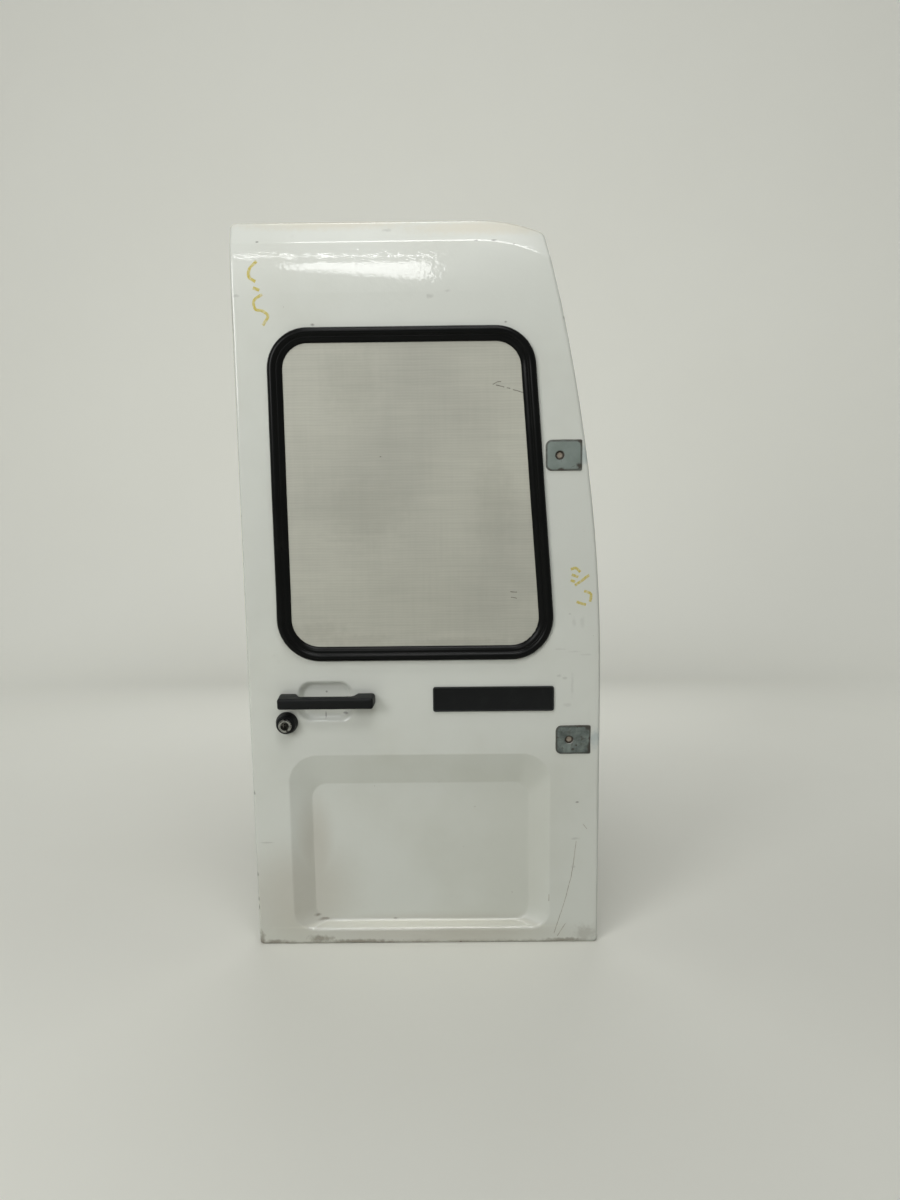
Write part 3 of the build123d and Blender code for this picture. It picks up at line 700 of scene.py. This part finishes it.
def sprayed_enamel(name, colours, sizes, dirt, rough, marks=()):
    """Sprayed enamel on steel sheet: a gloss broken by orange peel, yellowed patches, dirt low down, and a
    painted shadow line along the free edge.
    """
    material, tree, place = start_material(name)
    axes = add(tree, "ShaderNodeSeparateXYZ", {0: place})
    _, base = mottled(tree, place, (colours.enamel, colours.enamel_shade), spacing=260,
                      grain={"Detail": 4.0}, span=(0.42, 0.72, 0.55), blend=SMOOTH)
    # Dirt thickens towards the lower edge; along the free edge the darkening is a painted shadow line as well
    # as dirt
    reach = near_edges(tree, axes, low=(14, -4, 0.55), free=(4, -1, 0.24), blend=SMOOTH)
    smudges = add(tree, NOISE, {"Vector": place, "Scale": per_metre(40), "Detail": 10.0, "Roughness": 0.72})
    crust = add(tree, PLUS, {0: smudges, 1: reach})
    dirt_and_edge_shade = add(tree, SMOOTH, {"Value": crust, "From Min": 0.62, "From Max": 1.15, "To Max": dirt})
    soiled = add(tree, TINT, {FACTOR: dirt_and_edge_shade, UNDER: base, OVER: rgba(colours.grime)})
    flecks = add(tree, NOISE, {"Vector": place, "Scale": per_metre(7), "Detail": 3.0, "Roughness": 0.5})
    soiled = marked(tree, place, flecks, soiled, marks)
    # Chips show rust, few on the face and more along the lower and free edges
    edges = near_edges(tree, axes, low=(8, 0, 0.16), free=(4, 0, 0.08))
    likely = add(tree, PLUS, {0: flecks, 1: edges})
    chipped = add(tree, RANGE, {"Value": likely, "From Min": 0.80, "From Max": 0.82})
    surface = add(tree, TINT, {FACTOR: chipped, UNDER: soiled, OVER: rgba(colours.rust)})
    dull = add(tree, RANGE, {"Value": dirt_and_edge_shade, "To Min": rough, "To Max": 0.75})
    # Fine and broad paint waves
    fine, broad = (
        add(tree, NOISE, {"Vector": place, "Scale": 1 / spacing, "Detail": 1.0})
        for spacing in (sizes.peel, sizes.dimple)
    )
    both = add(tree, TIMES_PLUS, {0: broad, 1: BROAD_WAVES, 2: fine})
    waves = relief(tree, both, FINE_WAVE)
    return close_material(material, {
        "Base Color": surface, "Roughness": dull, "IOR": 1.5, "Coat Weight": 1.0, "Coat Roughness": 0.05,
        "Normal": waves, "Coat Normal": waves,
    })


def grey_primer(name, colours, shade, stain, node, chips):
    """Brushed grey primer on steel: matt and blotchy, chipped dark at the rim and in spots."""
    material, tree, place = start_material(name)
    _, base = mottled(tree, place, (shade, colours.primer), spacing=18,
                      grain={"Detail": 6.0, "Roughness": 0.6}, span=(0.3, 0.7, 1.0))
    stains = add(tree, NOISE, {"Vector": place, "Scale": per_metre(9), "Detail": 4.0, "Distortion": 0.6})
    stained = add(tree, RANGE, {"Value": stains, "From Min": stain, "From Max": stain + 0.12, "To Max": 0.7})
    ragged = add(tree, RANGE, {"Value": stains, "To Min": -0.8, "To Max": 0.8})
    dark = add(tree, MOST, {0: stained, 1: soft_spots(tree, place, ragged, chips)})
    rim = plate_rim(tree, place, node, HINGE_PLATE_CORNER, width=3.2)
    worn = add(tree, TIMES, {0: rim, 1: stains})
    chipped = add(tree, TIMES_PLUS, {0: worn, 1: 1.3, 2: dark}, use_clamp=True)
    surface = add(tree, TINT, {FACTOR: chipped, UNDER: base, OVER: rgba(colours.stain)})
    brushing = add(tree, NOISE, {"Vector": place, "Scale": per_metre(2.5), "Detail": 3.0})
    return close_material(material, {
        "Base Color": surface, "Roughness": 0.58, "Normal": relief(tree, brushing, height=0.00012),
    })


def old_rubber(colours):
    """Extruded rubber: near black with a grey bloom, dull sheen and fine pores."""
    material, tree, place = start_material("Weathered rubber")
    bloom, base = mottled(tree, place, (colours.rubber, colours.rubber_bloom), spacing=45,
                          grain={"Detail": 7.0, "Roughness": 0.65}, span=(0.45, 0.80, 0.55), blend=SMOOTH)
    rough = add(tree, RANGE, {"Value": bloom, "To Min": 0.14, "To Max": 0.34})
    pores = add(tree, NOISE, {"Vector": place, "Scale": per_metre(1.8), "Detail": 2.0})
    return close_material(material, {
        "Base Color": base, "Roughness": rough, "Specular IOR Level": 0.12,
        "Normal": relief(tree, pores, height=0.000015),
    })


def grained_plastic(name, colours, sizes, rim=None):
    """Moulded black ABS: fine leather-like grain, worn paler in patches, and a painted highlight along a rim
    if it has one.
    """
    material, tree, place = start_material(name)
    rub, base = mottled(tree, place, (colours.plastic, colours.plastic_worn), spacing=28,
                        grain={"Detail": 6.0, "Roughness": 0.6}, span=(0.48, 0.78, 0.6), blend=SMOOTH)
    if rim:
        # Painted highlight: the rim is paler where it would catch the light, broken by the worn patches
        rim_highlight_share = add(tree, TIMES, {0: plate_rim(tree, place, *rim), 1: rub})
        base = add(tree, TINT, {FACTOR: rim_highlight_share, UNDER: base, OVER: rgba(TONES["rim highlight"])})
    cells = add(tree, "ShaderNodeTexVoronoi",
                {"Vector": place, "Scale": 1 / sizes.grain, "Smoothness": 0.5}, feature="SMOOTH_F1")
    rough = add(tree, RANGE, {"Value": rub, "To Min": 0.38, "To Max": 0.62})
    return close_material(material, {
        "Base Color": base, "Roughness": rough, "Specular IOR Level": 0.18,
        "Normal": relief(tree, cells, height=0.00018),
    })


def worn_chrome(name, tone, tarnish, share):
    """Chrome plate on brass: hairline scratches and dull dark patches where it is worn through."""
    material, tree, place = start_material(name)
    stretched = add(tree, "ShaderNodeMapping", {"Vector": place, "Scale": (1.0, 1.0, 9.0)})
    hairs = add(tree, NOISE, {"Vector": stretched, "Scale": per_metre(5), "Detail": 5.0})
    _, base = mottled(tree, place, (tone, tarnish), spacing=5.5, grain={"Detail": 4.0},
                      span=(0.62 - share, 0.76 - share, 0.92), blend=SMOOTH)
    rough = add(tree, RANGE,
                {"Value": hairs, "From Min": 0.3, "From Max": 0.7, "To Min": 0.12, "To Max": 0.34})
    return close_material(material, {"Base Color": base, "Metallic": 1.0, "Roughness": rough})


def zinc_plate(colours):
    """Zinc plated steel: satin grey with a faint yellow cast and white bloom."""
    material, tree, place = start_material("Zinc plated steel")
    spangle, base = mottled(tree, place, (TONES["yellow zinc"], colours.zinc), spacing=12,
                            grain={"Detail": 6.0, "Roughness": 0.6}, span=(0.35, 0.72, 1.0))
    rough = add(tree, RANGE, {"Value": spangle, "To Min": 0.30, "To Max": 0.58})
    return close_material(material, {"Base Color": base, "Metallic": 0.85, "Roughness": rough})


def filmed_glass(colours, sizes):
    """Pale film under glass: uneven woven threads, cloudy patches and a thin gloss over it."""
    material, tree, place = start_material("Filmed glass")
    _, base = mottled(tree, place, (colours.film, colours.film_shade), spacing=330,
                      grain={"Detail": 4.0}, span=(0.35, 0.68, 1.0), blend=SMOOTH)
    # A dull part low down, smudges in the middle and dust along the foot
    flecks = add(tree, NOISE, {"Vector": place, "Scale": per_metre(14), "Detail": 5.0, "Roughness": 0.6})
    base = marked(tree, place, flecks, base, [
        (TONES["pane dust"], 0.30, 0.2, [(280, 590, 260, 110)]),
        (TONES["pane dust"], 0.30, 0.5, [(200, 750, 90, 75), (412, 762, 42, 95), (185, 955, 60, 80)]),
        (TONES["pane dirt"], 0.22, 0.8, [(120, 553, 60, 22), (170, 540, 90, 12), (360, 535, 110, 7)]),
    ])
    # Level threads, then uneven level ones and fainter upright ones: noise drawn out along each thread
    level = add(tree, "ShaderNodeTexWave", {
        "Vector": place, "Scale": math.pi / (10 * sizes.weave), "Distortion": 3.0, "Detail": 2.0,
        "Detail Scale": 0.4, "Detail Roughness": 0.6,
    }, bands_direction="Z")
    crossed = level.outputs["Fac"]
    for drawn_out, share in (((0.05, 1.0, 1.0), 2.4), ((1.0, 1.0, 0.05), 1.1)):
        along = add(tree, "ShaderNodeMapping", {"Vector": place, "Scale": drawn_out})
        thread = add(tree, NOISE,
                     {"Vector": along, "Scale": 1 / sizes.weave, "Detail": 1.0, "Roughness": 0.5})
        crossed = add(tree, TIMES_PLUS, {0: thread, 1: share, 2: crossed})
    threads = add(tree, RANGE, {
        "Value": crossed, "From Min": 1.05, "From Max": 3.45, "To Min": 0.93, "To Max": 1.07,
    })
    surface = add(tree, VECTOR, {0: base, "Scale": threads}, operation="SCALE")
    return close_material(material, {
        "Base Color": surface, "Roughness": 0.48, "IOR": 1.5, "Coat Weight": 0.3, "Coat Roughness": 0.22,
    })


def plain_finish(name, tone, mark, spacing, rough):
    """Thin deposit such as wax, sealer or rust: broken tone and no shine to speak of."""
    material, tree, place = start_material(name)
    grain, base = mottled(tree, place, (tone, mark), spacing,
                          grain={"Detail": 5.0, "Roughness": 0.65}, span=(0.40, 0.66, 0.8))
    return close_material(material, {
        "Base Color": base, "Roughness": rough, "Normal": relief(tree, grain, height=0.0001),
    })


def painted_floor(colours, lift):
    """Matt emulsion on floor and backdrop: faintly clouded, and shown paler away from the door."""
    material, tree, place = start_material("Matt emulsion")
    _, base = mottled(tree, place, (colours.floor, colours.floor_shade), spacing=700,
                      grain={"Detail": 3.0}, span=(0.0, 1.0, 1.0))
    away = add(tree, VECTOR, {0: place, 1: at(DOOR_WIDTH / 2, 0)}, operation="DISTANCE")
    rise = add(tree, SMOOTH, {
        "Value": away, "From Min": 0.3, "From Max": 3.0, "To Min": lift * NEAR_LIFT, "To Max": lift,
    })
    glow = add(tree, TIMES, {0: rise, 1: seen_rays(tree)})
    return close_material(material, {
        "Base Color": base, "Roughness": 0.8, "Specular IOR Level": 0.2,
        "Emission Color": rgba(colours.floor), "Emission Strength": glow,
    })


def finish(name, maker, *details):
    """A finish by name, made the first time that it is asked for."""
    return bpy.data.materials.get(name) or maker(*details)


def settings():
    """The scene's colours and sizes."""
    return bpy.context.scene.van_door_colours, bpy.context.scene.van_door_sizes


# Pieces

def stroke(name, runs, width, sway, material):
    """Thin irregular strokes of one finish laid on the door."""
    section = flat_section("stroke", width, height=0.0003, sunk=0.00015)
    swept(name, runs, section, material, OUTWARD, spacing=0.0025, wander=sway, wave=0.014, closed=False)


class VANDOOR_OT_sheet_metal(bpy.types.Operator):
    """Paints the outer skin, inner panel, window frame and hinge reinforcements"""
    bl_idname = "van_door.sheet_metal"
    bl_label = "Sheet metal"

    def execute(self, context):
        colours, sizes = settings()
        outside = sprayed_enamel("Gloss enamel", colours, sizes, dirt=0.80, rough=0.30, marks=[
            # Thin brown film low on the free side and at the corners of the recess; down the recess's left
            # slope the brown tint is painted warm shade as well as film
            (colours.film_dirt_and_shade, 0.34, 0.05, [(70, 90, 130, 120), (300, 20, 300, 30), (100, 160, 40, 130)]),
            # Yellow dust along the top edge of the crown
            (TONES["crown dust"], 0.55, 0.3, [(150, 1200, 190, 15), (400, 1190, 160, 16)]),
            # Painted highlight: a pale band along the ledge of the recess, where light from above falls
            (TONES["ledge highlight"], 0.8, 0.1, [(285, 31, 260, 5)]),
            # Primer brushed past the hinge seats
            (TONES["brushed primer"], 0.9, 0.5, [(557, 836, 15, 18), (579, 367, 12, 20)]),
            # Dirt along the foot of the door and in the recess
            (colours.grime, 0.6, 0.7, [
                (106, 10, 26, 9), (175, 4, 80, 6), (4, 9, 9, 18), (530, 5, 40, 5), (28, 4, 26, 6),
                (100, 44, 7, 3.5), (112, 36, 14, 3), (236, 36, 8, 2),
            ]),
            # A patch low by the hinge edge, and a darker stretch of the free edge's painted shadow line
            (colours.grime, 0.3, 0.6, [(566, 16, 24, 22), (0, 1052, 4, 50)]),
            # Scuffs along the crown, above the window, in the finger dish and on the edges
            (colours.scuff, 0.65, 0.7, [
                (386, 1169, 4, 1.6), (413, 1169, 5, 1.8), (444, 1163, 3, 1.5), (44, 1171, 3, 1.5),
                (127, 1044, 4, 3), (431, 1045, 3, 2), (129, 449, 2.5, 2.5), (127, 410, 2, 6),
                (160, 412, 6, 2.5), (522, 1051, 2.5, 4, 6), (1, 129, 3, 5, 6), (2, 276, 3, 5, 5),
                (1, 68, 3, 6, 7), (1, 84, 3, 5, 6), (550, 255, 4, 2),
            ]),
            (colours.scuff, 0.2, 0.8, [
                (21, 187, 15, 1.6), (313, 1085, 8, 4), (340, 1093, 5, 3), (8, 1089, 7, 3), (247, 1187, 9, 3),
                (518, 475, 5, 3), (528, 471, 5, 3), (535, 579, 3, 2), (545, 139, 5, 3), (548, 190, 8, 3),
            ]),
            # Faint scuffs on the hinge stile
            (colours.scuff, 0.11, 0.8, [
                (520, 520, 16, 1.8), (543, 515.5, 14, 1.8), (562, 510.5, 12, 1.8), (556, 565, 5, 12),
                (542, 565, 4, 10), (530, 425, 10, 4), (540, 460, 3, 25), (497, 430, 12, 3),
            ]),
        ])
        inside = sprayed_enamel("Inner enamel", colours, sizes, dirt=0.60, rough=0.45)
        paint_node("outer_skin", outside)
        for name in ("inner_panel", "window_frame", "upper_hinge_doubler", "lower_hinge_doubler"):
            paint_node(name, inside)
        return {"FINISHED"}


class VANDOOR_OT_seams(bpy.types.Operator):
    """Sets out the spot welds and the seam sealer on the inner side"""
    bl_idname = "van_door.seams"
    bl_label = "Seams"

    def execute(self, context):
        colours, sizes = settings()
        # A weld is a shallow rim round a sunk middle
        weld = turned_shape("weld", sizes.weld_radius, [(1, -0.2), (0.86, 0.3), (0.6, 0.28), (0.45, 0.08)])
        flange = [at(x, z, FLANGE_BACK) for x, z in door_path(WELD_INSET)]
        inside = bpy.data.materials["Inner enamel"]
        set_out("flange_spot_welds", flange, weld, inside, INWARD, sizes.weld_pitch)
        sealer = plain_finish("Seam sealer", colours.sealer, TONES["sealer shade"], spacing=14, rough=0.7)
        bead = flat_section("bead", sizes.sealer_width, height=0.0011, sunk=0.0)
        edge = [at(x, z, FLANGE_BACK - SEALER_SUNK) for x, z in door_path(FLANGE_EDGE)]
        swept("hem_sealer", [edge], bead, sealer, INWARD,
              spacing=0.006, wander=0.0012, wave=0.03)
        return {"FINISHED"}


class VANDOOR_OT_window(bpy.types.Operator):
    """Runs the rubber seal round the window and finishes the pane"""
    bl_idname = "van_door.window"
    bl_label = "Window"

    def execute(self, context):
        colours, sizes = settings()
        rubber = finish("Weathered rubber", old_rubber, colours)
        paint_node("window_pane", filmed_glass(colours, sizes))
        points = [(rise / 1000, -along / 1000, 0) for along, rise in SEAL_SECTION]
        section = linked("seal_section", path_mesh("seal_section", [points]))
        path = [at(x, z) for x, z in window_path()]
        seal = swept("window_rubber", [path], section, rubber, OUTWARD,
                     spacing=0.007, wander=0.0009, wave=0.09)
        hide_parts("window_seal")
        return {"FINISHED"}


class VANDOOR_OT_grip(bpy.types.Operator):
    """Rounds and finishes the grip, its pads and its fixings"""
    bl_idname = "van_door.grip"
    bl_label = "Grip"

    def execute(self, context):
        colours, sizes = settings()
        plastic = finish("Grained ABS", grained_plastic, "Grained ABS", colours, sizes)
        softened("handle_grip", "grip_moulding", sizes.grip_round, plastic)
        paint_node("handle_pads", finish("Weathered rubber", old_rubber, colours))
        paint_node("handle_fixings", finish("Zinc plated steel", zinc_plate, colours))
        return {"FINISHED"}


class VANDOOR_OT_lock(bpy.types.Operator):
    """Finishes the lock boss, its button, key plug and ring nut"""
    bl_idname = "van_door.lock"
    bl_label = "Lock"

    def execute(self, context):
        colours, sizes = settings()
        paint_node("lock_housing", finish("Grained ABS", grained_plastic, "Grained ABS", colours, sizes))
        chrome = worn_chrome("Worn chrome", colours.chrome, TONES["tarnish"], share=0.14)
        paint_node("lock_button", chrome)
        brass = worn_chrome("Tarnished brass", TONES["brass"], TONES["brass tarnish"], share=0.30)
        paint_node("key_plug", brass)
        paint_node("lock_ring_nut", finish("Zinc plated steel", zinc_plate, colours))
        return {"FINISHED"}


class VANDOOR_OT_plate(bpy.types.Operator):
    """Rounds and finishes the bare plate"""
    bl_idname = "van_door.plate"
    bl_label = "Plate"

    def execute(self, context):
        colours, sizes = settings()
        # The plate's rim gets a painted highlight
        plastic = grained_plastic("Rubbed ABS", colours, sizes, ("name_plate", PLATE_CORNER, 3))
        softened("name_plate", "bare_plate", sizes.trim_round, plastic)
        return {"FINISHED"}


class VANDOOR_OT_hinge_seats(bpy.types.Operator):
    """Finishes the hinge seats and nut plates, with dirt round them and dust in their bolt holes; the nut
    plates are darkened as grease and as painted shade inside the holes
    """
    bl_idname = "van_door.hinge_seats"
    bl_label = "Hinge seats"

    def execute(self, context):
        colours, sizes = settings()
        chips = {
            "upper": [(519, 815, 6, 3), (547, 820, 6, 5), (550, 860, 6, 4)],
            "lower": [(541, 349, 3.5, 3.5), (547, 356, 2.5, 2.5), (567, 386, 7, 5), (569, 352, 4, 10)],
        }
        primers = {
            "upper": ("Grey primer", colours, TONES["primer shade"], 0.66),
            "lower": ("Stained primer", colours, TONES["stained shade"], 0.57),
        }
        greasy_hole_shade = plain_finish("Greasy steel", TONES["greasy hole shade"], TONES["dark greasy hole shade"], spacing=5, rough=0.6)
        rims = []
        holes = []
        for side, look in primers.items():
            plate = side + "_hinge_plate"
            primer = grey_primer(*look, plate, chips[side])
            softened(plate, side + "_seat", sizes.trim_round, primer)
            # Painted shade: the dark nut plates stand for the shade inside the bolt holes, as well as grease
            paint_node(side + "_hinge_nut_plate", greasy_hole_shade)
            low, high = box_on_door(plate)
            corners = [(low.x, low.z), (high.x, low.z), (high.x, high.z), (low.x, high.z)]
            radii = [HINGE_PLATE_CORNER, HINGE_PLATE_SQUARE, HINGE_PLATE_SQUARE, HINGE_PLATE_CORNER]
            rim = rounded(corners, radii)
            rims.append([at(x, z) for x, z in [*rim, rim[0]]])
            low, high = box_on_door(side + "_hinge_nut_plate")
            holes.append(at((low.x + high.x) / 2, (low.z + high.z) / 2, NUT_FACE + DUST_BACK))
        grime = plain_finish("Edge dirt", colours.stain, TONES["dry dirt"], spacing=6, rough=0.8)
        stroke("hinge_seat_dirt", rims, sizes.dirt_width, sway=0.001, material=grime)
        mound = turned_shape("dust", sizes.dust_radius, [(1, -1.0), (0.94, 0.5), (0.6, 0.8)])
        dust = plain_finish("Packed dust", TONES["hole dust"], TONES["dark hole dust"], spacing=4, rough=0.8)
        set_out("bolt_hole_dust", holes, mound, dust, OUTWARD)
        return {"FINISHED"}


class VANDOOR_OT_latch(bpy.types.Operator):
    """Finishes the latch, sets its screws, and finishes the blanking plugs"""
    bl_idname = "van_door.latch"
    bl_label = "Latch"

    def execute(self, context):
        colours, sizes = settings()
        zinc = finish("Zinc plated steel", zinc_plate, colours)
        softened("latch_case", "latch_cover", sizes.trim_round, zinc)
        for name in ("latch_fork", "latch_lever"):
            paint_node(name, zinc)
        paint_node("blanking_plugs", finish("Weathered rubber", old_rubber, colours))
        # A screw head is a round flange under a hexagon with a sunk top
        rings = [(1, -0.2), (1, 0.8), (0.80, 1.2), (0.80, 4.0), (0.70, 4.5), (0.40, 4.4)]
        screw = turned_shape("screw", sizes.screw_radius, rings, flats_from=2)
        places = [at(x, z, LATCH_BACK) for x, z in LATCH_SCREWS]
        screws = set_out("latch_screws", places, screw, zinc, INWARD)
        screws.data.set_sharp_from_angle(angle=SMOOTH_EDGE)
        return {"FINISHED"}


class VANDOOR_OT_marks(bpy.types.Operator):
    """Draws the crayon strokes, scratches and pane scuffs of a used door"""
    bl_idname = "van_door.marks"
    bl_label = "Marks"

    def execute(self, context):
        colours, sizes = settings()
        crayon = plain_finish("Wax crayon", colours.crayon, TONES["pale wax"], spacing=3.5, rough=0.6)
        scrape = plain_finish("Rusty scratch", TONES["scratch"], TONES["scratch edge"], spacing=6, rough=0.7)
        scuff = plain_finish("Grey scuff", TONES["pane scuff"], TONES["pale scuff"], spacing=4, rough=0.7)
        for name, width, sway, material, slot, runs in (
            ("crayon_strokes", sizes.crayon_width, 0.002, crayon, "body_paint", [
                [(43, 1141), (32, 1130), (30, 1117), (40, 1110)],
                [(36, 1101), (46, 1097)],
                [(50, 1091), (37, 1082), (38, 1069), (49, 1066), (58, 1058), (49, 1044)],
                [(536, 653), (545, 655), (551, 648)],
                [(538, 644), (548, 640)],
                [(536, 635), (543, 632)],
                [(543, 626), (566, 643)],
                [(558, 617), (569, 612), (568, 599)],
                [(561, 594), (546, 599)],
            ]),
            ("scratches", sizes.scratch_width, 0.0015, scrape, "body_paint", [
                [(549, 185), (542, 127), (537, 105), (528, 69), (521, 47), (512, 17)],
                [(532, 35), (525, 24), (518, 12)],
                [(503, 89), (503, 77)],
                [(560, 216), (567, 207)],
            ]),
            ("pane_scuffs", sizes.scuff_width, 0.002, scuff, "filmed_glass", [
                [(410, 949), (417, 953), (423, 953)],
                [(415, 948), (428, 945)],
                [(432, 944), (438, 943)],
                [(442, 941), (461, 935)],
                [(437, 617), (448, 616)],
                [(438, 608), (448, 606)],
                [(228, 838), (231, 838)],
            ]),
        ):
            stroke(name, [on_face(eased(run)) for run in runs], width, sway, material)
        return {"FINISHED"}


# Stage

def lamp(name, power, size, place, aim):
    """Rectangular softbox at a place, turned to a point."""
    data = bpy.data.lights.new(name, "AREA")
    data.shape = "RECTANGLE"
    data.size, data.size_y = size
    data.energy = power
    turn = (Vector(aim) - Vector(place)).to_track_quat("-Z", "Y")
    linked(name, data).matrix_world = Matrix.Translation(place) @ turn.to_matrix().to_4x4()


class VANDOOR_OT_stage(bpy.types.Operator):
    """Sets the floor with its backdrop, the lamps, the fill light and the camera"""
    bl_idname = "van_door.stage"
    bl_label = "Stage"

    def execute(self, context):
        colours, _ = settings()
        stage = context.scene.van_door_stage
        # Floor that sweeps up into a backdrop well behind the door
        behind = FLOOR_RUN[-1]
        profile = [(y, 0.0) for y in FLOOR_RUN]
        profile += [
            (behind + math.sin(angle) * COVE_RADIUS, COVE_RADIUS - math.cos(angle) * COVE_RADIUS)
            for angle in COVE_ANGLES
        ]
        profile.append((behind + COVE_RADIUS, BACKDROP_TOP))
        mesh = bpy.data.meshes.new("floor")
        points = [(side * FLOOR_SIDE, y, CORNER.z + z) for side in (-1, 1) for y, z in profile]
        count = len(profile)
        faces = [(row, count + row, count + row + 1, row + 1) for row in range(count - 1)]
        mesh.from_pydata(points, [], faces)
        mesh.shade_smooth()
        mesh.materials.append(painted_floor(colours, stage.lift))
        floor = linked("floor", mesh)
        middle, foot, top = (at(DOOR_WIDTH / 2, DOOR_HEIGHT * share) for share in (1 / 2, 1 / 4, 1))
        lamp("key_softbox", stage.key_power, size=(1.2, 1.2), place=(-1.9, -2.2, 1.25), aim=middle)
        lamp("ceiling_panel", stage.top_power, size=(1.40, 0.5), place=(-0.12, -1.62, 2.30), aim=top)
        lamp("overhead_panel", stage.over_power, size=(1.2, 0.5), place=(-0.25, -0.75, 2.60), aim=foot)
        # A thin lamp over a row that deepens towards the right: they make the streak below the crease
        bend = at(*STREAK)
        lamp("line_lamp", stage.strip_power * LINE_SHARE,
             size=(1.22, 0.035), place=(-0.89, STRIP_BACK, 2.80), aim=bend)
        for step in range(STRIP_COUNT):
            depth = STRIP_DEPTH + STRIP_GROWTH * step
            place = (STRIP_LEFT + STRIP_WIDTH * step, STRIP_BACK, STRIP_TOP - depth / 2)
            lamp("strip_lamp", stage.strip_power * depth, size=(STRIP_WIDTH, depth), place=place, aim=bend)
        lamp("rear_softbox", stage.back_power,
             size=(2.0, 1.2), place=(-0.25, 1.9, 0.9), aim=(-0.25, 0.0, 0.9))
        world = bpy.data.worlds.new("Studio")
        world.use_nodes = True
        tree = world.node_tree
        tree.nodes.clear()
        fill = add(tree, "ShaderNodeBackground", {"Color": (1, 1, 1, 1), "Strength": stage.sky})
        pale = add(tree, "ShaderNodeBackground", {"Color": rgba(colours.floor), "Strength": BACKDROP_GLOW})
        mixed = add(tree, "ShaderNodeMixShader", {0: seen_rays(tree), 1: fill, 2: pale})
        add(tree, "ShaderNodeOutputWorld", {"Surface": mixed})
        context.scene.world = world
        data = bpy.data.cameras.new("camera")
        data.lens = stage.lens
        data.sensor_width = SENSOR_WIDTH
        data.sensor_fit = "AUTO"
        camera = linked("camera", data)
        turn = (
            Matrix.Rotation(stage.roll, 3, "Z") @ Matrix.Rotation(stage.pitch, 3, "X")
            @ Matrix.Rotation(stage.yaw, 3, "Y") @ Matrix(((1, 0, 0), (0, 0, -1), (0, 1, 0)))
        )
        sight = Matrix((turn[0], -turn[1], -turn[2])).transposed().to_4x4()
        camera.matrix_world = Matrix.Translation(at(*CAMERA_PLACE)) @ sight
        context.scene.camera = camera
        context.scene.view_settings.view_transform = "Standard"
        return {"FINISHED"}


class VANDOOR_PT_pieces(bpy.types.Panel):
    """Lists the door's pieces in the order that they are finished"""
    bl_idname = "VANDOOR_PT_pieces"
    bl_label = "Van Door"
    bl_space_type = "VIEW_3D"
    bl_region_type = "UI"
    bl_category = "Van Door"

    def draw(self, context):
        for operator in OPERATORS:
            self.layout.operator(operator.bl_idname)


OPERATORS = (
    VANDOOR_OT_sheet_metal,
    VANDOOR_OT_seams,
    VANDOOR_OT_window,
    VANDOOR_OT_grip,
    VANDOOR_OT_lock,
    VANDOOR_OT_plate,
    VANDOOR_OT_hinge_seats,
    VANDOOR_OT_latch,
    VANDOOR_OT_marks,
    VANDOOR_OT_stage,
)
GROUPS = {
    "van_door_colours": VanDoorColours,
    "van_door_sizes": VanDoorSizes,
    "van_door_stage": VanDoorStage,
}


def register():
    """Registers the settings, operators and panel."""
    for name, group in GROUPS.items():
        bpy.utils.register_class(group)
        setattr(bpy.types.Scene, name, PointerProperty(type=group))
    for item in (*OPERATORS, VANDOOR_PT_pieces):
        bpy.utils.register_class(item)


def unregister():
    """Removes what register added."""
    for item in (VANDOOR_PT_pieces, *reversed(OPERATORS)):
        bpy.utils.unregister_class(item)
    for name, group in GROUPS.items():
        delattr(bpy.types.Scene, name)
        bpy.utils.unregister_class(group)


def main():
    """Dresses the whole door."""
    register()
    for operator in OPERATORS:
        group, name = operator.bl_idname.split(".")
        getattr(getattr(bpy.ops, group), name)()


if __name__ == "__main__":
    main()
